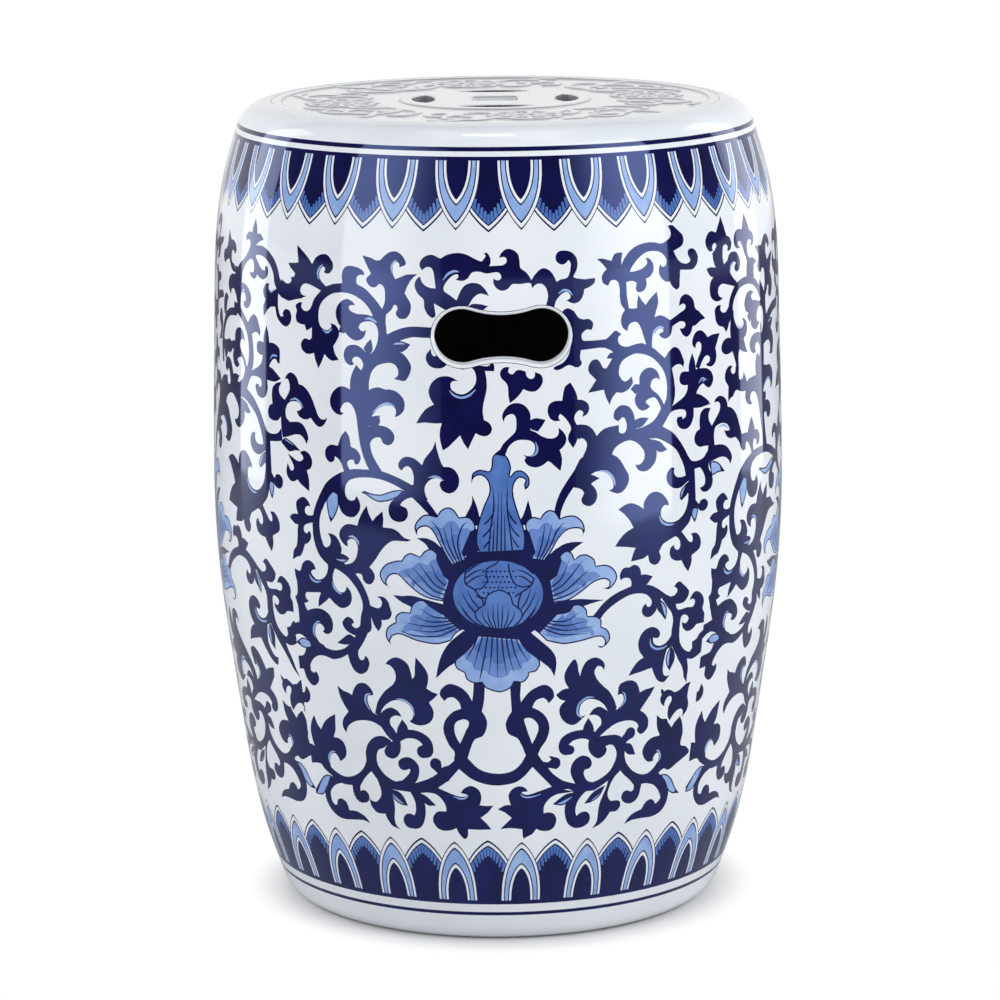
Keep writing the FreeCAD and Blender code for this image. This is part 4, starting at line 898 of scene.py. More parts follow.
def under_hole():
    """Leaves between the flower and the hand hole."""
    return [
        dark((-14.2, 332.3, C), (-12.3, 330), (-11.5, 326), (-12.5, 322.5), (-15, 319.7),
             (-18.5, 317.7), (-22, 318.1), (-25, 320.2), (-25.6, 323), (-24.3, 324.7),
             (-21.4, 324.8, C), (-24.5, 326.6), (-28, 327.4), (-32.5, 326.5), (-36, 323.5),
             (-37.7, 319.5), (-37, 315.5), (-34.8, 311.8, C), (-39, 309.5), (-42, 306),
             (-44.8, 301.2, C), (-40, 301.8), (-34, 301.5), (-30.5, 301.7, C), (-31.5, 298),
             (-31.6, 293), (-30, 286.9, C), (-27, 288.8), (-24, 291.8), (-20.5, 295.3, C), (-18.5, 291),
             (-16.2, 287.7, C), (-14.3, 292), (-12, 296.6, C), (-9.5, 295.3), (-6.5, 295), (-4, 296.5),
             (-3.2, 299.5), (-4.8, 302.3), (-7.5, 303.8, C), (-8.1, 308), (-7.8, 312), (-6.8, 316),
             (-5.8, 321), (-5.9, 326), (-6.7, 330.4, C), (-4, 330.3), (-1.7, 330.2, C), (-1.8, 333.9),
             (-3.5, 334.3, C), (-5.5, 332.9), (-10, 333.3)),
        glint((-26.2, 319.5, 0.3), (-23.5, 316.9, 1.2), (-19.5, 315.8, 1.2), (-15.2, 317.2, 1.2),
              (-12, 320.2, 0.4)),
        dark((-36.3, 342, C), (-38.8, 339), (-39, 335.5), (-36.5, 332.3), (-32.5, 331.4), (-29, 332.3),
             (-26.2, 335.4, C), (-28.5, 338.2), (-31.5, 339), (-34.5, 338), (-36, 339.5)),
        vine((-23.3, 334.3, 0.5), (-20.8, 332.7, 1.9), (-18.6, 331.8, 1.5)),
        dark((6.6, 332.4, C), (3.5, 332.2), (1.4, 329.5), (2, 326.5), (4.5, 324), (5.6, 321.5),
             (5.8, 317), (6.5, 312.8, C), (9, 314.5), (12, 317.5), (14, 320.3, C), (17, 319),
             (20.5, 319), (23.5, 321.5), (24.7, 325), (23.5, 328), (20.4, 329.4, C), (20, 326.6),
             (18, 325.7), (16, 327), (15.2, 329.9, C), (12, 330.8), (10, 330.3), (8.6, 328.7),
             (7, 328.6), (5.8, 330)),
        dark((0.8, 286, C), (1.2, 288), (3, 291), (6.5, 294.3), (9.3, 297.2), (10, 300.5), (9.8, 304.5),
             (8.3, 306.8), (5.5, 306.4), (3.8, 304.8), (3.2, 302.5, C), (2.3, 305.5), (3.5, 309),
             (6.5, 312), (10.5, 312.9), (14, 311.8), (16.8, 308.8), (17.8, 305), (17.3, 300.5),
             (17.6, 298, C), (20.5, 296.7), (24, 294.3), (28, 293), (31.3, 293.5), (33, 295.5),
             (33, 298.7, C), (35.5, 296.5), (37.2, 293.5), (37, 290.5), (35.3, 288), (33.5, 286.5, C),
             (34.5, 283.5), (34.8, 280), (33.8, 275.1, C), (31, 277.5), (28.5, 280), (26.8, 280.7, C),
             (24, 278.5), (20, 277.5), (16, 278.8), (14.2, 281.5), (15, 283.2), (13.3, 284.7, C),
             (16.5, 283.8), (18.8, 284.8), (20, 287.5), (19.5, 290.5), (17, 292.3), (13, 292.8),
             (10, 292.4), (7, 290.5), (5, 287.8), (3.8, 284.5, C)),
        glint((17.5, 283.6, 0.3), (20.3, 284.9, 1.1), (21.3, 288, 1.1), (20.3, 291.5, 0.3)),
        *pale_leaf((17.4, 303.4, C), (21, 304.4), (26, 303.2, C), (24, 300), (21.6, 297, C),
                   (18, 298.4), (17, 300.5)),
        dark((39.8, 323, C), (42, 319.5), (43.5, 316), (43.8, 313.5, C), (47, 313), (49.7, 311),
             (50.4, 308), (49, 305.2), (46.2, 303.9, C), (47, 306.3), (45, 307.6), (42.7, 306),
             (41.8, 303), (43.3, 299.8, C), (43.8, 293, C), (43, 290.5), (41, 287.2, C), (38.3, 291.5),
             (38.7, 295), (40, 298), (38.5, 301.5), (36, 304.6), (34, 306.2, C), (33, 304.4),
             (34, 302.5, C), (30.8, 302.4), (28.2, 304.2), (27, 308), (28, 311.5), (31, 313.3),
             (35.2, 313.3, C), (35.8, 317.5), (37, 321)),
    ]


def around_hole():
    """Leaves right and left of the hand hole and above it."""
    return [
        dark((-34.5, 366.5, C), (-33.5, 360, C), (-35.5, 358.6), (-38.5, 361), (-40, 364.5),
             (-40.3, 368.3), (-43, 370.8), (-45, 373.8), (-45.4, 377), (-44, 379.6), (-42.3, 380.8, C),
             (-41.5, 378.3), (-39.5, 376), (-36.5, 374.8), (-33.6, 374.6, C), (-34, 378),
             (-34.6, 382.5), (-35.8, 385.3), (-38.3, 386), (-40, 385.2), (-41.2, 384, C),
             (-42.7, 386.5), (-42, 389.5), (-39, 391.9), (-35.5, 392.5), (-31, 390.6, C), (-27, 392.8),
             (-21, 393.8), (-16, 392.7), (-12, 390.7), (-8.5, 389.3), (-7, 390.5), (-6, 392.3),
             (-7, 393.6, C), (-5.3, 393.9), (-3.6, 391.5), (-3.2, 388.8), (-4, 386.8, C), (0, 387),
             (3.2, 387.2), (5.3, 388.6), (5.4, 390.6), (3.8, 391.6), (1.5, 391.1, C), (2.5, 393.6),
             (5.5, 395.8), (9, 395.3), (11.8, 393), (12.6, 389.5), (13, 385.7), (15.5, 383.8),
             (17.8, 381.2), (18.9, 379, C), (21, 382), (24, 384.7), (27, 385), (30, 383), (32, 379.8),
             (32.8, 377.6, C), (35, 378.8), (38, 379.3), (39.6, 380.5), (40.8, 384), (41, 387.5),
             (39.8, 389, C), (38, 387.2), (35.5, 386.8), (33, 388.6), (32.6, 391.5), (34.5, 393.8),
             (38, 394.2), (41.5, 393.2), (44.2, 390.6), (45, 387), (44.2, 383.3), (42.5, 380),
             (44.5, 379, C), (49, 378.3), (52.5, 378.6), (54.9, 378.8, C), (54.5, 376.3), (52, 374.3),
             (48.5, 373, C), (47.8, 370), (46, 367), (43.5, 365.7), (41, 366), (38.1, 367.5, C),
             (40.3, 368.5), (40.3, 370.5), (38.5, 372), (36.3, 371.5), (34, 369.5), (32, 366.5),
             (31, 361, C), (26.5, 361, C), (27, 366), (28, 370), (27, 374.5), (24.5, 376.8),
             (21.5, 376.6), (19.2, 374.6, C), (18.2, 377.4), (13, 377), (8.5, 377), (6, 374.5),
             (3, 373.5), (0, 374.8), (-1.8, 377.5), (-1.8, 380.2, C), (0, 379.2), (2, 379.7),
             (2.4, 381.6), (1, 383.3), (-1.5, 383.4), (-5.5, 382.8), (-9.5, 383.8), (-13.5, 383.3),
             (-16, 380), (-19, 378.8), (-22.5, 379.4, C), (-21, 380.8), (-21.5, 382.3), (-24, 381.7),
             (-27, 379), (-29, 375.7), (-28.8, 373.2), (-25.5, 371), (-22, 368.4, C), (-20.5, 372),
             (-18, 376), (-14, 377.8), (-9.5, 377.2), (-6, 374), (-4.3, 370.6, C), (-6, 371.5),
             (-9.5, 372), (-13, 369.5), (-16, 364.5, C), (-22, 362, C), (-28, 363, C)),
        glint((-29.6, 379, 0.3), (-27, 382.2, 1.2), (-23.5, 384, 1.2), (-20.6, 383.6, 0.3)),
        glint((33.8, 371.2, 0.3), (36.8, 373.1, 1.1), (40, 372.2, 1.1), (41.6, 370, 0.3)),
        *pale_leaf((-16.5, 364, C), (-13.5, 366.5), (-8.5, 366.3), (-4.8, 365.4, C), (-8, 363),
                   (-12, 362.8)),
        dark((35, 360, C), (36.5, 362.3), (39, 363.2), (42.3, 361.5), (44.8, 358), (47.5, 356.8),
             (51, 356.8), (53.3, 354.3), (52.3, 351), (49.5, 351.2), (46.8, 349.3, C), (46.5, 347),
             (47.5, 345.2, C), (52, 345), (58, 345.2), (61, 345.5), (64, 347.9), (66.6, 349.6),
             (69.9, 347.2, C), (68.1, 346), (67.9, 343.5), (69.5, 341.3), (73, 340.3), (77, 341),
             (82, 341.6), (85.2, 340.5, C), (84, 344), (82, 350), (79.5, 353.2), (76.3, 353.2),
             (74.3, 351.5), (73.6, 348.7, C), (71, 350.5), (69.7, 354), (70.3, 357.5), (72.2, 360.3, C),
             (70, 363.5), (69.2, 368), (69.3, 372), (68.5, 375.5), (66.3, 377), (63.8, 376.4),
             (62.5, 374, C), (59.6, 375.5), (58.7, 378.8), (60, 381.5), (61.8, 383, C), (59.5, 386),
             (56.2, 388.8, C), (60, 388.8), (64.8, 387.3, C), (66.5, 390.5), (69, 391.5),
             (71.8, 391.4, C), (71, 388), (70.8, 384.7, C), (73, 388.5), (77, 392.3), (82, 394.7),
             (88, 395.6), (93, 395.3), (97, 394.3), (101, 395.5), (103.8, 397.5), (104.3, 400.3),
             (102.6, 403.3, C), (106, 403.5), (109.3, 400.8), (112.5, 398), (113.3, 394.8),
             (111.5, 391.8), (105.5, 389.6, C), (107, 386.5), (109.5, 383.5), (113.5, 382),
             (116.7, 382.6), (117.4, 384), (115.7, 387), (116.6, 389.3), (119.5, 389.8), (122, 388.2),
             (123.5, 384.8), (122.3, 381), (119, 378.5), (114, 378.6), (109.6, 379, C), (109, 374),
             (108.6, 370), (106.5, 368.4, C), (103.5, 370.5), (102, 373.2, C), (98.5, 373.8),
             (95.5, 376.5), (94.6, 380), (95.6, 383.3, C), (97, 381.8), (99.4, 382.3), (100.2, 385),
             (98.5, 388), (95, 390.2), (90.5, 390.8), (86, 390.2), (81.5, 387.5), (77.5, 383.5),
             (75.8, 380.6, C), (80, 380.9), (84, 382), (86.8, 384), (87, 386), (86, 387.3, C),
             (88.5, 387), (91, 384), (91, 380.3), (88.8, 377.3), (86, 376.3, C), (86.3, 373),
             (84.5, 370), (81, 369.3), (79.3, 371), (80, 374.5, C), (77, 375.8), (73.5, 375.3, C),
             (73.6, 368), (74.8, 361, C), (77, 360.7), (79.8, 360.8, C), (80, 364.5), (80.8, 368, C),
             (83, 364.5), (85.4, 362, C), (88, 365), (92.8, 368.7, C), (93.6, 363), (92, 358),
             (91, 354.8, C), (94.5, 355.7), (98.5, 354.3), (101.5, 352.3, C), (105, 354), (109.3, 356),
             (112, 357.2), (112.7, 359.3), (111, 360.4), (107.8, 359.5, C), (109, 363.5), (112, 365.4),
             (115.5, 364.7), (118.8, 361.5), (120, 357), (123, 355), (126, 352.3), (128, 350.6, C),
             (124, 349.7), (120, 347.6), (118, 347.5, C), (116.3, 343.8), (113.3, 342), (110.3, 343.5),
             (108, 347.3, C), (110.5, 346.9), (112.3, 348.3), (111.8, 350.2), (109, 351), (105, 349.8),
             (103, 348.7, C), (101.8, 344.5), (98.8, 342.6), (95.5, 343.3), (93.8, 345.5),
             (96.5, 346.5), (96, 348.3), (93.2, 348), (90.5, 345.8), (89.2, 343), (89, 338, C),
             (85, 335, C), (79, 336.2), (74, 335), (70.5, 333), (68.6, 330.2, C), (68, 326),
             (69.5, 323), (71.5, 321.5), (73.8, 322.2), (75.6, 324, C), (76.5, 320.5), (74, 317.2),
             (70, 315.5), (66.5, 316, C), (63.8, 313), (62.3, 309.3, C), (60, 314), (59, 317.9, C),
             (54, 317.3), (49.7, 316.8, C), (52.5, 320.5), (54.6, 323.5, C), (52.5, 325.7), (50.4, 328),
             (50.2, 331), (52, 334), (54.8, 334.8), (57, 333), (58.5, 330, C), (60.5, 329.5),
             (62.5, 332), (64.3, 334.8, C), (65, 337.5), (62, 339.8), (58, 340.9), (52, 340.6),
             (46, 340.2, C), (45.5, 336), (46.5, 333.2), (45, 331.2), (42.8, 331, C), (39, 332.5),
             (35, 330.5), (31.8, 330), (30.9, 331.6), (36, 334), (39, 338), (40.5, 344), (40.3, 351),
             (39.3, 356.5), (38, 358.8)),
        glint((89, 344, 0.3), (91, 347.6, 1.2), (94.5, 349.3, 1.2), (97.2, 348.4, 0.3)),
        *pale_leaf((60.8, 334.8, C), (63, 337.6), (67, 337.6, C), (65.5, 334.6)),
    ]


def big_arm():
    """The big arm right of the flower's bud, and the ring beyond it."""
    return [
        vine((31.8, 249, 3.4), (32.3, 254, 3.8), (35, 261, 4.6), (39.5, 268, 5), (43.5, 273.5, 5),
             (47, 279, 6)),
        dark((43, 299.8, C), (46, 299.8), (49.5, 299), (52.5, 296.5), (54.5, 293, C), (57, 295.5),
             (61, 297.3), (67.6, 298, C), (67.7, 294.4), (69.3, 293.2), (71.3, 293.8), (72.3, 296),
             (72.1, 299), (71, 301.6), (69.4, 301.9), (67.4, 300, C), (65, 301.5), (64.5, 304),
             (66, 307), (69.5, 308.7), (73.5, 307.8), (76.3, 304.5), (77.5, 300), (78, 295, C),
             (83, 295.8), (88, 297.7), (91.5, 300.5), (94.3, 304.8, C), (92.3, 309), (90, 311.2),
             (87.5, 311), (85, 310), (84.5, 308.8), (86, 307.5), (87.1, 306.3, C), (84.5, 304.8),
             (81.5, 304.8), (78.8, 307), (77.5, 310.5), (78.3, 313.5), (80, 316, C), (80.5, 320),
             (80.8, 323.5), (83, 326.5), (87, 327.8), (91, 326.5), (93.3, 323.3), (93.7, 320.2, C),
             (91.8, 321.7), (89.5, 321.3), (88, 319.5), (87.8, 317), (89.3, 315), (92, 313),
             (94.5, 310), (96.4, 306.5, C), (98, 310), (98.6, 314), (98.5, 318), (97, 324), (93.5, 329),
             (89, 333), (84, 335.3), (79, 336.2, C), (79, 341.5, C), (84, 341), (88.7, 339, C),
             (92, 336.6), (97.4, 332, C), (100.5, 335.5), (104, 337.4), (107.5, 335.8), (109.8, 331.5),
             (111, 328.5), (110.3, 325.6, C), (108.5, 327.3), (105.5, 327.6), (102.2, 326, C),
             (103.5, 320), (104.2, 313), (103.2, 307.5), (102, 305.2, C), (106, 307), (110.5, 309.5),
             (112.8, 312.5), (113.2, 315.6, C), (110.5, 315.6), (108, 317), (107.3, 319.8),
             (108.5, 322.5), (111, 323.2), (114.2, 322.8, C), (114.5, 327), (117.1, 332.8, C),
             (119, 328), (119.8, 323.3, C), (124, 323.5), (129, 320.5), (129, 312.5, C), (127.3, 313),
             (125.5, 314.8), (122.8, 314), (120.5, 311.5, C), (119.8, 310, C), (124, 308.5),
             (130, 304.3, C), (124.5, 302), (117.5, 302.2, C), (117.3, 297.5), (114.8, 293),
             (111, 291.3), (107, 292.5), (105, 295.8), (105.6, 298.5), (108.8, 298.7, C),
             (109.3, 297.2), (111.5, 298.6), (111.3, 301.5), (108.5, 302.6), (103.5, 302.6),
             (100.5, 301.4), (97.5, 297.7), (95.2, 294.6, C), (101.5, 291), (106, 286.5), (110, 281),
             (113, 276), (115.5, 273.3), (120, 272.8), (124.5, 274), (127.5, 277, C), (128.5, 270, C),
             (123, 269), (117.5, 268.5, C), (117.8, 262), (118, 254), (118.2, 251, C), (120.5, 248.7),
             (122, 250.3), (125, 250.8), (127.6, 249), (127.5, 246.2), (125, 244.2), (121.5, 244.6),
             (119.5, 246.5, C), (116, 244.5), (113, 239), (107.8, 234.8, C), (111, 231), (113.7, 228.3),
             (115.6, 228), (116, 230.5), (114.6, 232.7, C), (118, 232.8), (121, 230.7), (122.5, 227),
             (121.5, 223.5), (118, 221.5), (115.5, 220.3, C), (115.5, 216), (113.3, 211.4, C),
             (110.5, 214.5), (108, 218.5, C), (104.5, 218.7), (101, 220.5), (99.5, 224), (100.5, 227),
             (102.7, 228, C), (103, 226), (105.5, 224.8), (107, 227), (106.2, 230.5), (103.3, 232.6),
             (99, 231), (95, 229.3), (92.5, 225.5, C), (93.7, 222), (92, 219), (89.3, 218.4),
             (86.3, 220.3), (85.2, 224.4, C), (82, 222.7), (78, 222.3), (74.5, 221.8, C), (75.7, 226),
             (77.3, 229.3, C), (72, 230.3), (64.8, 231.2, C), (67.5, 235), (71, 238.3),
             (75.9, 240.8, C), (73.5, 245), (70, 249), (66.7, 251.6, C), (70, 253.5), (74, 254.5),
             (78, 253.3), (82.2, 250.6, C), (82.7, 254.5), (86, 258.3), (90.5, 259.2), (95, 257),
             (98, 253.3), (98.9, 250.5, C), (96, 251), (94, 249.3), (93.4, 246), (95, 243),
             (98.5, 241.2), (102.5, 240.9), (106.5, 242.3), (110, 245.5), (112, 250), (112.6, 254),
             (112.3, 260), (112.8, 262.5, C), (107.5, 259.6), (103, 259.5), (99.3, 261.5), (97.3, 265),
             (97.8, 268.5), (100.3, 271.2), (103, 270.9, C), (102.5, 268.5), (104, 266), (107, 265.2),
             (110.8, 265.7, C), (109.5, 271), (107, 276.5), (103.5, 281.5), (98, 285.3), (92, 288.3),
             (86.5, 288.9, C), (90, 284.5), (91, 280.5), (90.3, 276.5), (88, 273.4), (84.5, 271.3),
             (81, 271.4), (78.5, 273), (77.3, 275.4, C), (79.8, 275.2), (82, 276.6), (83.2, 279.5),
             (82.5, 283), (79.5, 286.5), (76, 288.7), (72.5, 289), (68.5, 287.8), (65, 285.5),
             (63.3, 282.3, C), (66.5, 280.5), (69, 277.5), (71, 274), (73.2, 270), (73, 266),
             (70.3, 262), (67, 260.5), (64, 261.2), (61, 262.7, C), (63.3, 263.3), (64, 265.3),
             (63.3, 268.2), (61.3, 271), (58, 273.2), (54, 273.5), (50.5, 272, C), (50.5, 267.5, C),
             (53.5, 264), (54.5, 260), (53, 256.4), (50, 254.8), (46.5, 256), (45.3, 258.6),
             (46.8, 262.3), (44.5, 264.8), (40.5, 265.8, C), (41, 273, C), (44.9, 278.3, C),
             (46.3, 282), (48.3, 286), (48.7, 289.5), (46.5, 292.2), (43.8, 291.8, C)),
        glint((56, 273.9, 0.4), (60.3, 272.8, 1.4), (63.8, 269.2, 1.4), (65, 265.3, 0.4)),
        glint((92.3, 245.6, 0.3), (94.2, 241.8, 1.2), (98.3, 239.8, 1.2), (102.5, 239.7, 0.3)),
        glint((120.5, 314.2, 0.3), (123, 316.6, 1.2), (126.5, 316.6, 0.9)),
        *pale_leaf((76.5, 299.7, C), (81, 300.9), (86.2, 300.3, C), (84, 297.8), (81.5, 295.8),
                   (77, 295, C)),
        *pale_leaf((75.1, 316.8, C), (77.5, 319.4), (80.8, 319.1, C), (80.3, 316.3), (78.2, 313.8, C)),
        *pale_leaf((44.6, 270.3, C), (48.5, 272.3), (51.5, 272), (56, 269.7, C), (53, 268.4),
                   (50.8, 267, C), (47.5, 268.5)),
        *pale_leaf((85.8, 288.8, C), (89.5, 288), (94, 286), (98, 281.6, C), (94.5, 280.6),
                   (91.2, 281.3, C), (89.3, 285)),
        *pale_leaf((112.5, 262, C), (109.5, 260), (107, 257.5), (106.3, 254), (107.5, 252.1, C),
                   (110.5, 254), (112.7, 256, C)),
        *pale_leaf((114.8, 243.5), (116.5, 247.2), (120, 245.8), (118.8, 241), (117.2, 238.5, C)),
    ]


def middle_right():
    """Scroll right of the flower: the arched stem and the double spiral."""
    return [
        dark((52.3, 193, C), (57, 198.6), (62, 202.8), (68, 205.8), (75, 208, C), (75, 210.3),
             (74, 212.4), (71.5, 213.1), (69.7, 212.8), (68.4, 211.8, C), (67.8, 215), (69.3, 218),
             (71.5, 219), (73.6, 218.7), (76.5, 219.9), (79.2, 218.8), (80.8, 216), (81, 212),
             (80, 208.5, C), (84, 208), (89, 206.5), (94, 203.5), (98, 200.6), (101.3, 198.9, C),
             (104, 199.3), (105.8, 201), (105.5, 203), (103.4, 204.3, C), (105.3, 206.2),
             (107.5, 206.7), (110, 204.8), (113, 202.2), (114.8, 199.5), (113.3, 196), (110, 194),
             (105.3, 194, C), (106, 191.8), (107.6, 190.4, C), (110, 190.5), (114, 191), (118, 190.6),
             (119.6, 192.5), (119.3, 194.5), (117.3, 195.2), (115.2, 194.6, C), (117, 197.6),
             (119.6, 199.3), (123, 198.3), (126, 195.5), (127, 192), (126.3, 188.6), (128, 185.5),
             (129.5, 183, C), (129.5, 179.9, C), (126, 180), (122.2, 179.9, C), (119, 177.5),
             (115, 177), (112.2, 178.8), (110.8, 181.3), (111, 183.2, C), (112.6, 181.9),
             (114.5, 182.4), (115.5, 184.5), (114, 186.3), (111.3, 187), (109.6, 185.3), (109.3, 181),
             (109.3, 176), (110.3, 171.5), (112.5, 168), (115.5, 165.6), (118.3, 164.6),
             (120.2, 166.3, C), (119.8, 170.2, C), (121.5, 170.6), (123.5, 171.6), (125.3, 174),
             (129.5, 176.5, C), (129.5, 165), (126, 161.6), (121, 160), (117, 160.8, C), (118.5, 155),
             (118.3, 150), (118.6, 146.5, C), (115.8, 150), (114.8, 153.5), (113, 157.5), (110, 161.3),
             (107.4, 165.3), (104.5, 170, C), (101, 168.5, C), (99.8, 164), (99.3, 160), (99.3, 156.5),
             (100.2, 154), (102, 152.9), (104.6, 153, C), (101.3, 149.8), (98.5, 149.9), (95.5, 151.7),
             (93, 155.6), (91.3, 159.3, C), (85, 158), (80, 157.2), (75.8, 156.3, C), (79, 161.5),
             (82, 164.5), (85.2, 166, C), (82, 170), (81, 175), (82.5, 179.5), (86, 182.4), (90, 183),
             (93.5, 181.5), (95.4, 178.7), (94.6, 176.4), (92.5, 176.2), (90.8, 176.8, C), (91, 174.3),
             (93, 172.2), (96.5, 171.5), (100, 172.6), (103.2, 176), (103.3, 179), (103.9, 183),
             (103.6, 187), (101.8, 190.5), (99, 193.6, C), (95, 199, C), (92.8, 194.5, C),
             (91.3, 191.6), (88.5, 189.3), (85, 189.3), (82.5, 191.8), (82.6, 195), (84.7, 197.2, C),
             (85.6, 195.4), (87.3, 195), (88.6, 197), (87.5, 199.8), (84, 202.5), (79, 203.4),
             (74, 203), (68, 200.5), (63, 197.5), (59, 194), (56.5, 190.5, C)),
        glint((88.8, 176.5, 0.3), (89.6, 172.6, 1.2), (93.3, 169.9, 1.2), (98.3, 169.8, 1.0),
              (101, 171, 0.3)),
        *pale_leaf((80, 213.6, C), (84, 213.7), (88.7, 212, C), (86.5, 209.6), (84.5, 207.8),
                   (79.4, 207.8, C)),
        *pale_leaf((93, 198.8, C), (96.2, 196.6), (99, 192.8), (99.2, 188.8), (98.4, 185.9, C),
                   (95.2, 189.7), (92.5, 193)),
        *pale_leaf((104, 170.2, C), (106.7, 166.2), (107.2, 161.5), (104.3, 155.7, C), (101.6, 159.3),
                   (100.6, 163.5), (102, 167.8)),
        dark((99.3, 145.9, C), (99.3, 143.5), (100.3, 142), (98.8, 139.3, C), (101.5, 144)),
        dark((102.7, 135, C), (100.3, 137), (99.3, 140), (100.8, 143.3), (104, 144.7), (107.5, 143.6),
             (110, 142.3), (114, 143.3), (118, 145.8), (122, 146.5, C), (120.8, 143), (120.6, 138),
             (122, 133.5), (121, 129.5), (117.8, 126.6, C), (118, 129.5), (116.5, 131.5),
             (113.6, 131.3), (110.4, 129), (108, 126, C), (106, 129), (106, 134), (108, 138),
             (107, 140.5), (104.5, 140), (103, 137.6)),
    ]


def scroll():
    """The shapes of one quarter of the scroll, in the order of painting."""
    return (lower_left() + middle_left() + above_ring() + tree_left() + under_hole()
            + around_hole() + stem() + lower_right() + middle_right() + big_arm() + lotus())


def clipped(shape, low, high):
    """The part of a shape between two upright lines, or None where nothing is left."""
    paint, outline = shape
    for limit, way in ((low, 1), (high, -1)):
        keep = (outline[:, 0] - limit) * way >= 0
        if keep.all():
            continue
        rows = []
        for number in range(len(outline)):
            start, end = outline[number - 1], outline[number]
            if keep[number - 1] != keep[number]:
                part = (limit - start[0]) / (end[0] - start[0])
                rows.append(np.array([limit, start[1] + (end[1] - start[1]) * part]))
            if keep[number]:
                rows.append(end)
        if len(rows) < 3:
            return None
        outline = np.array(rows)
    return paint, outline


# Quarters of the scroll, laid side by side round the barrel

SEAM = QUARTER / 2              # where one quarter meets the next
FRONT_SHIFT = -2.5              # the drawing's zero against the middle of the hand hole

# High up, the trees beside the front take the place of what each quarter has there
TREES_FROM = 264
FRONT_END = 137                 # the front's own shapes end here on both sides
RIGHT_START = 186               # the right quarter's own shapes start here
RIGHT_WHOLE = 193               # and one whose middle lies further out stays whole
LEFT_FROM = 340                 # the left quarter's lower shapes need no end
LEFT_END = -207
LEFT_WHOLE = -225

SHIFT_FADE = 60                 # mm over which a shift ends towards the middle of a side

# How far a side quarter was laid off its place by hand: height, right, up
LEFT_SHIFTS = ((70, 6.5, 2.5), (100, 8.5, 3.5), (145, 10, 2), (158, 1.5, 7.5), (200, 0, 8),
               (230, -2, 9.5), (250, -4, 14), (285, -5, 14), (305, -8, 14), (345, -8, 13.5),
               (400, -5, 8))
RIGHT_SHIFTS = ((70, -1, -1), (110, -0.5, -1.5), (150, 0, -2), (160, 3.5, -2), (182, 3.5, -2.5),
                (190, 0, -3), (250, 0, -3), (300, 2, -3), (355, 1, -5), (400, 1, -5))


def laid_on(shape, quarter):
    """A shape of a side quarter at the place where it was laid on by hand."""
    paint, outline = shape
    heights, right, up = zip(*(LEFT_SHIFTS if quarter < 0 else RIGHT_SHIFTS))
    far = np.clip((QUARTER - np.abs(outline[:, 0])) / SHIFT_FADE, 0, 1)
    far = far * far * (3 - 2 * far)
    shift = [np.interp(outline[:, 1], heights, right), np.interp(outline[:, 1], heights, up)]
    return paint, outline + np.column_stack(shift) * far[:, None]


def tall_fleur():
    """A fleur on a stem, as it stands on the ring right of the front."""
    return dark((171.3, 403.8, C), (173, 400), (175.3, 395.5), (175.9, 393.6, C), (178.7, 392.6),
                (180.7, 389.5), (180, 386.3), (177.5, 384.9), (175.8, 385.5, C), (177, 387.3),
                (174.8, 388.7), (172.3, 387.6), (171.1, 384.5), (171.6, 381), (173.5, 378.4, C),
                (177.5, 378.4), (182.8, 375.6, C), (179.5, 374.3), (178.5, 371.5), (178.3, 367, C),
                (168.8, 366.8, C), (169.2, 373), (170, 377.8), (167.5, 382), (165.5, 386.5),
                (163.5, 388.9), (161.5, 388.8), (161.3, 387), (163.3, 385.5, C), (160, 385.2),
                (157.4, 387.2), (156.7, 390.5), (158.5, 394), (162, 395.8), (166.6, 395.2, C),
                (168.3, 398.5), (170, 402))


def hook_cluster():
    """A leaf with three hooks, right of the front."""
    return dark((119.5, 334.8, C), (117.3, 337.3), (117.8, 341), (120.5, 344), (124.5, 344.3),
                (127.8, 342), (129.6, 340, C), (134, 341), (140, 341, C), (138, 337), (136, 333.3, C),
                (136.8, 329.5), (135.8, 325.5), (132.5, 323.5), (128.7, 324.2), (128, 325.4, C),
                (130.5, 326.3), (131, 328.5), (129, 330), (126.3, 329), (124, 326), (122, 322.5, C),
                (119.5, 325, C), (121.5, 329.3), (123.8, 333), (124.2, 336.5), (122.5, 338.3),
                (120.5, 337.6))


def side_middle(quarter):
    """Leaves where the front has its hand hole, because the sides have none."""
    middle = quarter * QUARTER
    return [
        moved(tall_fleur(), middle - 170, -40),
        moved(hook_cluster(), middle - 153, 12),
        moved(hook_cluster(), middle - 102, 10),
        dark((-209, 359, C), (-204.6, 357.5), (-204.8, 354.8), (-209, 354.4, C)),
        dark((-208, 331, C), (-205.4, 340), (-208, 348, C)),
    ]


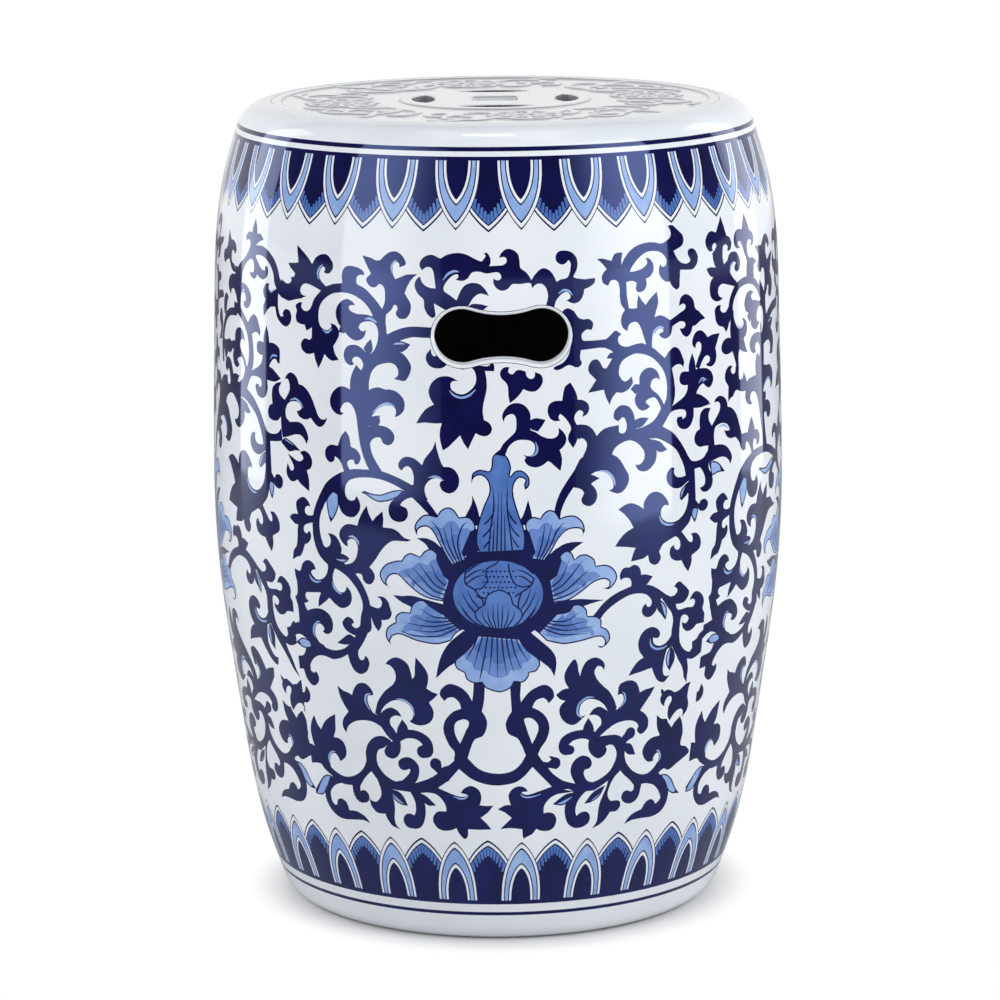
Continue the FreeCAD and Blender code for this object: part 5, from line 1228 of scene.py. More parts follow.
def right_tree():
    """The upper scroll right of the front, which differs from the front's own."""
    return [
        dark((145.8, 404.8, C), (147.5, 400.5), (149.3, 395), (149.6, 393.6, C), (152.5, 392.5),
             (154.2, 389.5), (153.3, 386.3), (150.8, 385), (149.4, 385.5, C), (150.2, 387.5),
             (148.3, 388.9), (146, 388.3), (145, 385.5), (144.7, 381.5), (145.8, 378.2, C),
             (149.3, 380.3, C), (151, 383), (155, 384.3), (159.5, 382.8), (162.3, 378.5),
             (161.5, 374.6), (158.5, 372.8), (156, 374.2), (156.2, 376.3), (157.8, 377.6, C),
             (155, 378.8), (152.3, 377), (151.2, 373.5), (154, 370), (158, 366.8, C), (156, 364.8, C),
             (150, 366.3), (144, 367.7), (140.3, 366.5), (139.3, 363.3), (141, 360.8), (144, 360, C),
             (140.5, 358.7), (136.5, 359), (133, 361.5), (132, 365.8), (133, 370), (135.3, 372.2, C),
             (132.5, 373.5), (129.8, 377.4, C), (133.5, 378), (138, 377.3, C), (136.3, 380.5),
             (135.6, 385.5, C), (138, 387), (139.6, 389), (138.7, 390.7), (136.8, 390.3),
             (135.8, 388.3), (136.4, 386.7, C), (133.5, 386.5), (131, 389), (130.4, 392.5),
             (132.5, 396), (136, 397.5), (140.3, 396.3, C), (142, 399), (144.3, 402)),
        glint((151.3, 374, 0.3), (152.5, 377, 1.3), (156, 378.6, 0.3)),
        tall_fleur(),
        vine((151.5, 349, 4), (151, 355, 4.2), (154.5, 361.3, 4.4), (160.5, 365.4, 4.4),
             (169, 366.7, 4.3), (177, 365.2, 4.2), (183.5, 361, 4.2), (188.5, 355, 4)),
        dark((141.8, 356.2, C), (138.5, 356.3), (136, 354), (136.3, 350.5), (137, 347.5), (139.5, 345),
             (143.5, 343.8), (145.5, 341.3, C), (147.5, 344.5), (149.5, 345.5, C), (151, 350),
             (150, 356, C), (146.5, 352.3), (143.5, 351.8), (141.2, 353.3), (141, 355)),
        *pale_leaf((143.8, 345.5, C), (146, 347.6), (148.6, 345.5), (147.8, 342.8), (146, 340.8, C),
                   (144.4, 342.8)),
        dark((149.5, 352, C), (150.3, 346), (149.8, 341), (150.2, 336.8, C), (147.5, 337.4),
             (143.5, 336.3), (141.3, 333.2), (142, 330.2), (145, 328.4), (149, 328.5),
             (151.6, 329.4, C), (153.5, 325.5), (155, 321.5), (154.3, 319.5, C), (158.2, 318, C),
             (157.8, 323), (158.2, 327.5), (159.5, 329.3, C), (164, 327.3), (168.4, 326.7, C),
             (166, 330), (164, 334.8, C), (167, 336.8), (168.3, 340.5), (167, 344.5), (162.6, 346.9, C),
             (164.2, 343.5), (162.5, 341.2), (159, 341), (156, 343.5), (154, 347.5), (153.6, 352, C)),
        glint((157.3, 343, 0.3), (160.3, 341.5, 1.1), (163.2, 343, 0.3)),
        dark((190.5, 352.3, C), (185, 353), (180, 354), (175.8, 354.8), (174.2, 356.8), (175.5, 358.4),
             (178, 358.4, C), (174.5, 360.3), (169.8, 360), (166.6, 357), (165.6, 353), (167.2, 349.6),
             (170.7, 348), (173, 345), (173, 341.5), (176, 338.6), (180.5, 337.9), (185.2, 341.2, C),
             (182, 342.3), (181, 344.8), (182.3, 348.2), (185.5, 350), (190.5, 349.5, C)),
        dark((181.5, 384.7, C), (187, 382.8), (191, 381.5, C), (191, 371.5, C), (188.5, 369),
             (185.5, 369.5), (183.8, 372.3), (185.3, 376), (187, 377.7, C), (184, 380.8)),
        *pale_leaf((168.6, 346.5, C), (171, 348.8), (173.6, 346), (171.5, 342.6, C)),
        dark((190.5, 334, C), (185.5, 335.3), (180.5, 336), (176, 335.6), (172.3, 333.5), (170.8, 330),
             (172.5, 326.3), (176, 324.7), (179.2, 325.2, C), (178, 327.8), (179.3, 330), (182, 330.2),
             (184.3, 328), (184.6, 324.5), (183.3, 322.2, C), (181.5, 324), (180, 324.3, C),
             (178.3, 321), (177.7, 316.5), (178.3, 312.3, C), (174, 312), (170, 311.8), (166.8, 310.5),
             (165.3, 313.3), (162.8, 316.6, C), (162.6, 314), (161, 312.5), (158.4, 312.6, C),
             (157.7, 316), (158, 319, C), (154.3, 320, C), (154.3, 318), (153, 316.6), (150.8, 317.2),
             (149.8, 319), (150.8, 320.6), (152, 321, C), (149, 321.7), (145.8, 320.3), (144, 317),
             (144.5, 313.5), (147, 310.5), (146.8, 306), (146.8, 301.8, C), (149, 303.5),
             (151.5, 304.3), (153.5, 306.5), (155.6, 307.3, C), (160, 305.7), (165, 305.3, C),
             (164.3, 302), (166, 298.5), (169.5, 296.8), (173.5, 297, C), (171, 298.6), (170.4, 301),
             (172, 303.2), (175.3, 303.5), (178.3, 301.3), (181, 296), (183, 288), (185.3, 280),
             (187.5, 270.5, C), (193, 270.5, C), (190.5, 280), (189, 290), (189, 300), (190, 311),
             (191, 323)),
        dark((134, 303.2, C), (135.5, 305.3), (139, 306.3), (143, 305), (145.6, 302), (146, 299.3, C),
             (150.5, 297.7), (154.8, 293.5), (157.6, 287), (159.8, 281.8, C), (163, 282),
             (166.3, 281.8, C), (167.8, 285), (169.8, 288.5), (171.3, 290, C), (173, 287.5),
             (174.8, 283.8), (175.3, 281.8, C), (178.3, 281.7), (181.3, 279.2), (181.9, 275.8),
             (179.8, 273.2), (176.3, 273, C), (177.3, 275), (175.6, 276.8), (173.5, 276),
             (172.8, 273.3), (173.8, 267.5, C), (171.2, 266.5, C), (170, 271.3), (167.5, 275.3),
             (165.3, 276.8), (163.9, 275.5), (163.9, 272.9, C), (161.3, 272.2), (158.8, 273.8),
             (157.5, 276.8), (155.3, 279.5), (152.8, 281.3, C), (148.8, 281.2), (145, 282.5),
             (142.3, 286.6, C), (145.3, 285.9), (147.5, 286.3), (145.5, 289.3), (141.5, 290.8),
             (137.3, 290.5), (134.2, 288.8), (133.4, 284.5), (133.8, 279.5, C), (138.5, 279.3),
             (143.3, 278), (147, 275), (149.4, 271), (148.6, 268.3), (147.4, 266.9, C), (146.2, 269.3),
             (142.8, 271.5), (138.5, 272.2), (133, 271.3), (128, 270.2), (122, 269), (115, 269.3, C),
             (115, 273, C), (119, 272.6), (123.5, 273.2), (127.2, 275.5), (128.5, 279.9, C),
             (125, 280.2), (121.3, 280.2), (118.2, 282.6), (117.6, 286), (119.4, 289), (121.9, 290, C),
             (121.7, 294.5), (122.8, 298.8), (126, 301), (131, 300.6, C), (129.2, 297.5),
             (129.5, 293.8), (131.8, 290.6, C), (135.3, 294.3), (138.3, 297.8), (139.2, 301),
             (137.5, 303.2)),
        glint((137, 289, 0.3), (142, 289.6, 1.1), (147.2, 286.4, 0.3)),
        dark((121, 269.5, C), (123.8, 266.3), (125.6, 262), (124.8, 258.5), (121.2, 257.4, C),
             (123.5, 255), (127.3, 254.7), (130.8, 256.8), (132, 260.5), (130.8, 264.3), (128.8, 267),
             (128.5, 270.5, C)),
        *pale_leaf((128.6, 270.2, C), (133, 270.8), (137.8, 268.6), (142.6, 263.6, C), (136.5, 263.9),
                   (131.3, 263), (130, 266.3)),
        hook_cluster(),
        dark((118, 322.8, C), (123, 323.5), (128.3, 323), (132, 320.6), (133.7, 316.8), (132.3, 313.3),
             (129.6, 312), (127.8, 313.5), (129, 315.3, C), (126.5, 317), (123.3, 315.8), (121, 312.8),
             (119.8, 310.3, C)),
        dark((118, 310, C), (122, 308.8), (127, 306), (131, 302.9, C), (124, 302), (118, 302.3, C)),
        glint((121.5, 315.3, 0.3), (124.5, 317.8, 1.1), (128.5, 316.6, 0.3)),
    ]


def left_tree():
    """The upper scroll left of the front, which differs from the front's own."""
    return [
        dark((-159.5, 395.3, C), (-156, 396), (-152.2, 393, C), (-155.5, 392), (-158.5, 390.2),
             (-159.8, 389.3, C), (-153, 389.5), (-146.5, 387.3), (-141, 383.3), (-137.5, 378.5),
             (-135.5, 373.5), (-132, 371.5), (-126, 371, C), (-126, 362.5, C), (-133, 363),
             (-137, 365.5), (-138.5, 367.5, C), (-140.5, 371), (-142, 376.5), (-146.5, 381.5),
             (-152, 384), (-157.5, 384.3), (-159.6, 383.3, C), (-156.5, 380), (-153, 377),
             (-149.8, 376.5), (-149.5, 378.5), (-147.5, 379.3, C), (-146.3, 376.3), (-147.7, 373),
             (-151.5, 371.3), (-155.5, 372.3), (-157.2, 373.5, C), (-158.8, 371.3), (-161.8, 370.6),
             (-164.8, 372.3), (-165.3, 374.3, C), (-161.8, 374), (-160.8, 376.5), (-161.5, 379.5),
             (-163.5, 381.3), (-167, 380.3), (-171, 377.3), (-174, 373), (-174.8, 367, C),
             (-171, 366.7), (-166.5, 364.5), (-163.6, 360.3), (-164.5, 356), (-167.8, 353.3),
             (-171.5, 353.8), (-173, 356.3, C), (-170.3, 357.5), (-170.2, 360), (-172.5, 361.7),
             (-175.3, 360.8), (-176.3, 356.5), (-176.5, 349, C), (-180.5, 349, C), (-180.8, 354.5),
             (-183.3, 359.5), (-186, 362), (-189.3, 361.5), (-190.3, 358.6, C), (-193, 360),
             (-195, 363.3), (-193.7, 367.5), (-189.5, 370), (-184.5, 370.5, C), (-183.8, 373.3),
             (-185.3, 375.5, C), (-181, 374.8, C), (-177.5, 377.8), (-172.5, 380.8), (-168.5, 384.8),
             (-166.2, 388.3, C), (-166.8, 391), (-169.5, 391.5), (-171.6, 390, C), (-171.7, 393.5),
             (-168.5, 396), (-165, 395.8, C)),
        *pale_leaf((-165.2, 395.3, C), (-164.5, 399.5), (-162.5, 404, C), (-160.2, 399.5),
                   (-159.2, 395, C)),
        glint((-175.5, 361, 0.3), (-173, 362.9, 1.2), (-170, 361, 0.3)),
        dark((-138, 368, C), (-141, 366.2), (-144, 365.2), (-145.6, 367.2), (-145, 369.8, C),
             (-148.5, 369.3), (-150.8, 366), (-150.2, 362.5), (-148.8, 360.5), (-150.6, 356.5),
             (-150, 351, C), (-146.5, 355), (-143, 357.2), (-139.5, 357.5, C), (-138, 352.5),
             (-134.5, 349), (-130.3, 347.6), (-126.8, 349.6), (-125.6, 353.5), (-127.2, 356.7),
             (-130.7, 357.2), (-132.8, 355), (-132.3, 353.2, C), (-134.8, 353), (-136.7, 357),
             (-137, 362), (-136.5, 366.5, C)),
        glint((-146, 367.3, 0.3), (-143.3, 365.4, 1.1), (-140, 367.5, 0.3)),
        dark((-197, 394.3, C), (-195.3, 391.5), (-192.3, 388.8, C), (-188.5, 388.8), (-184.6, 386.5),
             (-184, 383), (-186.5, 381.3, C), (-188, 383.3), (-190.3, 382.8), (-191, 379),
             (-189.5, 376.5), (-186.5, 375.8), (-182.5, 371.8, C), (-187.5, 371.5), (-191.5, 374),
             (-195, 377.8), (-199, 376.6), (-202.8, 374.5, C), (-205.8, 378), (-204.5, 381.8),
             (-200.5, 383), (-198.3, 386.3), (-198.2, 390)),
        vine((-183, 349.4, 4.4), (-191, 348.6, 4.3), (-198, 345, 4.2), (-203, 338, 4), (-205, 329, 4),
             (-204, 320, 3.4)),
        dark((-203.5, 349, C), (-203.3, 354), (-200.5, 357.5), (-197, 358), (-194.8, 356, C),
             (-196.5, 354), (-197.5, 351), (-198.5, 346.5, C), (-202, 346)),
        dark((-204, 333, C), (-200, 331.5), (-196, 332.5), (-192, 333), (-186, 331, C), (-188, 327.5),
             (-191.5, 325.2), (-195, 325.5), (-197, 322.5), (-199.5, 320.5, C), (-202, 325),
             (-205, 329)),
        *pale_leaf((-185, 306, C), (-184.5, 310), (-181, 311.3), (-176.5, 309.8, C), (-179.5, 306.5)),
        dark((-133.5, 316.5, C), (-138, 315.6), (-141.6, 312.5), (-142.3, 308), (-141.6, 303.5, C),
             (-144.3, 302.3), (-145.8, 298.8), (-144.5, 295.5), (-140.5, 294.3), (-136.5, 295),
             (-134.2, 297.3, C), (-133.5, 293), (-131, 290), (-127, 288, C), (-127, 295.5, C),
             (-130, 298), (-130.3, 303), (-129, 306.5, C), (-132, 307.5), (-135.3, 310),
             (-135.8, 313.3)),
    ]


def own_part(shape, quarter):
    """The part of a quarter's shape that lies between its neighbours, in front coordinates."""
    low = quarter * QUARTER - SEAM
    high = quarter * QUARTER + SEAM
    middle, height = shape[1].mean(axis=0)
    if quarter == 1 and height > TREES_FROM and middle < RIGHT_WHOLE:
        low = RIGHT_START
    if quarter == -1 and height > LEFT_FROM and middle > LEFT_WHOLE:
        high = LEFT_END
    if quarter == 0 and height > TREES_FROM:
        low, high = -FRONT_END, FRONT_END
    return clipped(shape, low, high)


def all_shapes():
    """Every painted shape of half the barrel, in the order of painting."""
    shapes = []
    for quarter in (-1, 1, 0):
        for shape in scroll():
            if quarter:
                shape = laid_on(moved(shape, quarter * QUARTER, 0), quarter)
            part = own_part(shape, quarter)
            if part is not None:
                shapes.append(part)
    shapes += left_tree() + right_tree() + side_middle(-1) + side_middle(1)
    return [moved(shape, FRONT_SHIFT, 0) for shape in shapes + borders()]


# The barrel's line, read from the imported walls

SHOULDER_ROUND = 18.0
FOOT_ROUND = 14.6
OVERALL_HEIGHT = 460.0
SHOULDER_HEIGHT = OVERALL_HEIGHT - SHOULDER_ROUND
SHOULDER_FROM = 448.0           # above this height the wall is the shoulder's arc
FOOT_TO = 10.0                  # below this height it is the foot's arc
PAINT_LOW = 9.0                 # the painted sheet lies between these heights
PAINT_HIGH = 452.0
WALL_THICKNESS = 8.5
SEAT_RADIUS = 127.5
SEAT_FLOOR = 448.0
MOUTH_RADIUS = 113.5
CEILING = 438.0
HOLLOW_FLOOR = 10.0
FOOT_RIM_RADIUS = 100.0
STEP = 3                        # degrees between the upright rows of points


def wall_line():
    """Heights and radii of the barrel's outside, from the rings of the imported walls."""
    rings = {}
    for name in ("lower_wall", "upper_wall"):
        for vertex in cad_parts[name].data.vertices:
            x, y, z = vertex.co / MM
            height = round(z, 2)
            rings[height] = max(rings.get(height, 0.0), math.hypot(x, y))
    line = []
    for height, radius in sorted(rings.items()):
        while len(line) > 1:
            (h0, r0), (h1, r1) = line[-2:]
            if (r1 - r0) * (height - h0) > (radius - r0) * (h1 - h0):
                break
            line.pop()
        line.append((height, radius))
    return np.array(line)


wall = wall_line()
wall_slope = np.gradient(wall[:, 1], wall[:, 0])
widest = wall[:, 1].max()


def arc_middle(low, high, middle_height, size):
    """The radius where an arc's middle lies, from the wall's rings between two heights."""
    rows = wall[(wall[:, 0] > low) & (wall[:, 0] < high)]
    return float(np.mean(rows[:, 1] - np.sqrt(size ** 2 - (rows[:, 0] - middle_height) ** 2)))


shoulder_middle = arc_middle(449, 459, SHOULDER_HEIGHT, SHOULDER_ROUND)
foot_middle = arc_middle(1, 9, FOOT_ROUND, FOOT_ROUND)


def wall_radius(height):
    """Radius of the barrel's outside at a height, in mm."""
    height = np.asarray(height, float)
    place = np.clip(np.searchsorted(wall[:, 0], height) - 1, 0, len(wall) - 2)
    span = wall[place + 1, 0] - wall[place, 0]
    t = (height - wall[place, 0]) / span
    radius = (
        (2 * t ** 3 - 3 * t ** 2 + 1) * wall[place, 1]
        + (t ** 3 - 2 * t ** 2 + t) * span * wall_slope[place]
        + (3 * t ** 2 - 2 * t ** 3) * wall[place + 1, 1]
        + (t ** 3 - t ** 2) * span * wall_slope[place + 1])
    high = np.sqrt(np.maximum(SHOULDER_ROUND ** 2 - (height - SHOULDER_HEIGHT) ** 2, 0))
    low = np.sqrt(np.maximum(FOOT_ROUND ** 2 - (FOOT_ROUND - height) ** 2, 0))
    radius = np.where(height > SHOULDER_FROM, shoulder_middle + high, radius)
    radius = np.where(height < FOOT_TO, foot_middle + low, radius)
    return np.minimum(radius, widest)


def wall_point(x, z):
    """Places in the row frame, in mm, of points of the flat drawing."""
    turn = np.radians(np.asarray(x) / SPREAD)
    radius = wall_radius(z)
    return np.column_stack([radius * np.sin(turn), -radius * np.cos(turn), z])


def wall_normal(x, z):
    """Outward directions of the wall at points of the flat drawing."""
    turn = np.radians(np.asarray(x) / SPREAD)
    slope = (wall_radius(z + 0.2) - wall_radius(z - 0.2)) / 0.4
    normal = np.column_stack([np.sin(turn), -np.cos(turn), -slope])
    return normal / np.linalg.norm(normal, axis=1)[:, None]


# The hand hole

HOLE_HEIGHT = 348.5
LOBE_RADIUS = 15.0
LOBE_OFFSET = 21.2
WAIST_HALF = 11.7
HOLE_ROUND = 2.2
HOLE_STEPS = 18                 # points along each of the four arcs


def hole_outline(grow):
    """The hand hole's outline seen from the front, moved outwards by grow, in mm."""
    inward = (LOBE_OFFSET ** 2 + WAIST_HALF ** 2 - LOBE_RADIUS ** 2) / (
        2 * (LOBE_RADIUS - WAIST_HALF))
    lean = math.atan2(WAIST_HALF + inward, LOBE_OFFSET)
    lobe = LOBE_RADIUS + grow
    hollow = inward - grow
    part = np.arange(HOLE_STEPS) / HOLE_STEPS
    turn = (math.pi - lean) * (2 * part - 1)
    right = np.column_stack([LOBE_OFFSET + lobe * np.cos(turn), lobe * np.sin(turn)])
    turn = -lean - (math.pi - 2 * lean) * part
    top = np.column_stack([hollow * np.cos(turn), WAIST_HALF + inward + hollow * np.sin(turn)])
    outline = np.vstack([right, top, -right, -top])
    return outline + np.array([0.0, HOLE_HEIGHT])


def hole_on_wall(outline):
    """The same outline on the flat drawing of the wall."""
    turn = np.arcsin(outline[:, 0] / wall_radius(outline[:, 1]))
    return np.column_stack([np.degrees(turn) * SPREAD, outline[:, 1]])


# Painted sheet: a flat mesh of the drawing, cut along every outline

def cut_long(outline, longest=7.0):
    """The outline with points added where a straight side would leave the round wall."""
    rows = []
    for start, end in zip(outline, np.roll(outline, -1, axis=0)):
        parts = max(1, math.ceil(float(np.hypot(*(end - start))) / longest))
        for number in range(parts):
            rows.append(start + (end - start) * number / parts)
    return np.array(rows)


def grid_edges(numbers):
    """The outer edges of a grid of points, as pairs of point numbers."""
    edges = []
    for line in (numbers[0], numbers[-1], numbers[:, 0], numbers[:, -1]):
        edges.extend(zip(line[:-1].tolist(), line[1:].tolist()))
    return edges


def loop_edges(start, count):
    """Pairs of point numbers that close a row of points."""
    return [(start + number, start + (number + 1) % count) for number in range(count)]


def cut_flat(points, edges):
    """Flat triangles over all the points, cut along the edges."""
    result = delaunay_2d_cdt(
        [Vector(point) for point in points.tolist()], edges, [], 0, 1e-4, False)
    flat = np.array([tuple(point) for point in result[0]])
    return flat, np.array([face for face in result[2] if len(face) == 3])


def flat_grid(rows):
    """Points that keep a flat sheet's triangles small, and its outer edges."""
    columns = np.arange(-90, 91, STEP) * SPREAD
    across, up = np.meshgrid(columns, rows)
    points = np.column_stack([across.ravel(), up.ravel()])
    return points, grid_edges(np.arange(len(points)).reshape(across.shape))


def painted_sheet(shapes):
    """Cuts the sheet along the shapes' outlines and finds the paint of each triangle."""
    grid, edges = flat_grid(np.concatenate([
        [PAINT_LOW, 11.5, 14.2], np.arange(28, 440, 9.0), [445.3, 450.4, PAINT_HIGH]]))
    places = [grid]
    hole = hole_on_wall(hole_outline(HOLE_ROUND))
    used = []
    for shape in shapes:
        shape = clipped(shape, -QUARTER, QUARTER)
        if shape is not None:
            used.append((shape[0], cut_long(shape[1])))
    start = len(grid)
    for outline in [outline for paint, outline in used] + [hole]:
        places.append(outline)
        edges.extend(loop_edges(start, len(outline)))
        start += len(outline)
    flat, faces = cut_flat(np.vstack(places), edges)
    middles = flat[faces].mean(axis=1)
    faces = faces[~inside(middles, hole)]
    middles = flat[faces].mean(axis=1)
    paints = np.zeros(len(faces), int)
    for paint, outline in used:
        low, high = outline.min(axis=0), outline.max(axis=0)
        near = np.flatnonzero(((middles >= low) & (middles <= high)).all(axis=1))
        paints[near[inside(middles[near], outline)]] = paint
    return flat, faces, paints


# Meshes

INNER_ROUND = 10.0              # between the hollow's wall and its ceiling
MERGE_DISTANCE = 0.02           # mm between points that are the same point
SHORTEST_EDGE = 0.001
NEAR_WALL = 0.02                # mm off the wall's line, for points of the outside


class Pile:
    """Points, faces and paints gathered for one mesh, in mm."""

    def __init__(self):
        self.points = []
        self.faces = []
        self.paints = []
        self.size = 0

    def add_points(self, points):
        """Adds points and returns their numbers."""
        points = np.asarray(points, float)
        self.points.append(points)
        self.size += len(points)
        return np.arange(self.size - len(points), self.size)

    def add_faces(self, faces, paint):
        """Adds faces, given as rows of point numbers, with one paint or one for each."""
        faces = [tuple(int(number) for number in face) for face in faces]
        self.faces.extend(faces)
        self.paints.extend(np.broadcast_to(paint, len(faces)).tolist())

    def bridge(self, first, second, paint):
        """Joins two closed rows of points with a strip of faces."""
        after = np.roll(first, -1), np.roll(second, -1)
        self.add_faces(zip(first, after[0], after[1], second), paint)

    def rings(self, profile, paint, turns):
        """Spins a row of (radius, height) points and joins the rings, outside to the left."""
        last = None
        for radius, height in profile:
            ring = np.column_stack([
                radius * np.sin(turns), -radius * np.cos(turns), np.full(len(turns), height)])
            numbers = self.add_points(ring)
            if last is not None:
                self.bridge(last, numbers, paint)
            last = numbers

    def build(self, name, materials, normal_of=None):
        """Makes the mesh object, with points that coincide merged."""
        mesh = bpy.data.meshes.new(name)
        mesh.from_pydata((np.vstack(self.points) * MM).tolist(), [], self.faces)
        for material in materials:
            mesh.materials.append(material)
        mesh.polygons.foreach_set("material_index", self.paints)
        mesh.polygons.foreach_set("use_smooth", [True] * len(self.faces))
        work = bmesh.new()
        work.from_mesh(mesh)
        bmesh.ops.remove_doubles(work, verts=work.verts, dist=MERGE_DISTANCE * MM)
        bmesh.ops.dissolve_degenerate(work, dist=SHORTEST_EDGE * MM, edges=work.edges)
        work.to_mesh(mesh)
        work.free()
        mesh.update()
        if normal_of is not None:
            places = np.array([tuple(vertex.co) for vertex in mesh.vertices]) / MM
            shading = np.array([tuple(normal.vector) for normal in mesh.vertex_normals])
            given = normal_of(places)
            have = ~np.isnan(given[:, 0])
            shading[have] = given[have]
            mesh.normals_split_custom_set_from_vertices(shading.tolist())
        add_colour_map(mesh)
        piece = bpy.data.objects.new(name, mesh)
        bpy.context.scene.collection.objects.link(piece)
        return piece


# Measures of the colour map, mostly as shares of its side
MAP_TURN = 3.6                  # radians either way, because a face can cross the back
MAP_MARGIN = 0.03               # left free round each part of the barrel's map
SEAT_MARGIN = 0.01
SEAT_TOP_SHARE = 0.73           # of the seat's map for its top
SEAT_SIDE_START = 0.77          # the seat's sides lie beyond it
SEAT_SIDE_SHARE = 0.22
FLAT_SPREAD = 0.3               # how far level parts are spread upwards, by their distance


def unrolled(spots, first):
    """Places round and up the piece, from 0 to 1, and its reach from the axis.

    The spots are the faces' corners, and first numbers the first corner of each one's face.
    """
    turn = np.arctan2(spots[:, 0], -spots[:, 1])
    turn = turn[first] + (turn - turn[first] + math.pi) % math.tau - math.pi
    away = np.hypot(spots[:, 0], spots[:, 1])
    reach = away.max()
    low, high = spots[:, 2].min(), spots[:, 2].max()
    up = (spots[:, 2] - low + FLAT_SPREAD * (reach - away)) / (high - low + FLAT_SPREAD * reach)
    return (turn + MAP_TURN) / (2 * MAP_TURN), up, reach


def add_colour_map(mesh):
    """A UV map with a part of its own for every paint, so that the paints' edges stay sharp."""
    places = np.zeros(len(mesh.vertices) * 3)
    mesh.vertices.foreach_get("co", places)
    corners = np.zeros(len(mesh.loops), int)
    mesh.loops.foreach_get("vertex_index", corners)
    firsts, counts, paints = np.zeros((3, len(mesh.polygons)), int)
    mesh.polygons.foreach_get("loop_start", firsts)
    mesh.polygons.foreach_get("loop_total", counts)
    mesh.polygons.foreach_get("material_index", paints)
    spots = places.reshape(-1, 3)[corners]
    paint = np.repeat(paints, counts)
    across, up, reach = unrolled(spots, np.repeat(firsts, counts))
    if len(mesh.materials) > 3:     # the barrel, with two parts side by side in three rows
        inner = 1 - 2 * MAP_MARGIN
        across = (paint % 2 + MAP_MARGIN + inner * across) / 2
        up = (paint // 2 + MAP_MARGIN + inner * up) / 3
    else:
        normals = np.array([polygon.normal.z for polygon in mesh.polygons])
        top = np.repeat(normals, counts) > 0.2
        plan = SEAT_MARGIN + SEAT_TOP_SHARE * (spots[:, :2] / reach + 1) / 2
        side = SEAT_SIDE_START + SEAT_SIDE_SHARE * across
        hole = (paint - 1 + SEAT_MARGIN + (1 - 2 * SEAT_MARGIN) * across) / 2
        across = np.where(paint > 0, hole, side)
        up = np.where(
            paint > 0, SEAT_SIDE_START + SEAT_SIDE_SHARE * up, SEAT_MARGIN + SEAT_TOP_SHARE * up)
        across[top] = plan[top, 0]
        up[top] = plan[top, 1]
    layer = mesh.uv_layers.new(name="OFBake")
    layer.uv.foreach_set("vector", np.column_stack([across, up]).astype(np.float32).ravel())


def barrel_normal(points):
    """Shading directions on the outside of the barrel, and NaN everywhere else."""
    normals = np.full(points.shape, np.nan)
    radius = np.hypot(points[:, 0], points[:, 1])
    height = points[:, 2]
    outer = np.abs(radius - wall_radius(height)) < NEAR_WALL
    outer &= (height > 2.0) & (height < 458.0)
    turn = np.degrees(np.arctan2(points[outer, 0], -points[outer, 1]))
    normals[outer] = wall_normal(turn * SPREAD, height[outer])
    return normals


def arc(middle_radius, middle_height, size, start, end, steps):
    """(radius, height) points along an arc, with angles in degrees from the horizontal."""
    turns = np.radians(np.linspace(start, end, steps))
    return [(middle_radius + size * math.cos(turn), middle_height + size * math.sin(turn))
            for turn in turns]


def inner_sheet(outline):
    """Flat triangles of the barrel's inside, with the hand hole cut out."""
    points, edges = flat_grid(np.linspace(HOLLOW_FLOOR, CEILING - INNER_ROUND, 18))
    edges.extend(loop_edges(len(points), len(outline)))
    flat, faces = cut_flat(np.vstack([points, outline]), edges)
    return flat, faces[~inside(flat[faces].mean(axis=1), outline)]


def turned(points, degrees):
    """The points turned about the stool's axis."""
    turn = math.radians(degrees)
    x = points[:, 0] * math.cos(turn) - points[:, 1] * math.sin(turn)
    y = points[:, 0] * math.sin(turn) + points[:, 1] * math.cos(turn)
    return np.column_stack([x, y, points[:, 2]])


def hole_loop(flat, faces):
    """The sheet's points round the hand hole, as places along the hole's outline."""
    outline = hole_on_wall(hole_outline(HOLE_ROUND))
    after = np.roll(outline, -1, axis=0)
    sides = {}
    for face in faces.tolist():
        for start, end in zip(face, face[1:] + face[:1]):
            side = (min(start, end), max(start, end))
            sides[side] = sides.get(side, 0) + 1
    rim = sorted({number for side, uses in sides.items() if uses == 1 for number in side})
    low, high = outline.min(axis=0) - 1, outline.max(axis=0) + 1
    rim = [number for number in rim if (flat[number] > low).all() and (flat[number] < high).all()]
    places = []
    for number in rim:
        run = after - outline
        part = ((flat[number] - outline) * run).sum(axis=1) / (run ** 2).sum(axis=1)
        part = np.clip(part, 0, 1)
        off = np.hypot(*(outline + run * part[:, None] - flat[number]).T)
        best = int(off.argmin())
        places.append((best + part[best]) % len(outline))
    order = np.argsort(places)
    return np.array(rim)[order], np.array(places)[order]


def along(ring, places):
    """Points at fractional places along a closed row of points."""
    low = np.floor(places).astype(int) % len(ring)
    part = (places - np.floor(places))[:, None]
    return ring[low] * (1 - part) + np.roll(ring, -1, axis=0)[low] * part


def inner_radius(height):
    """Radius of the barrel's inside, in mm."""
    return wall_radius(height) - WALL_THICKNESS


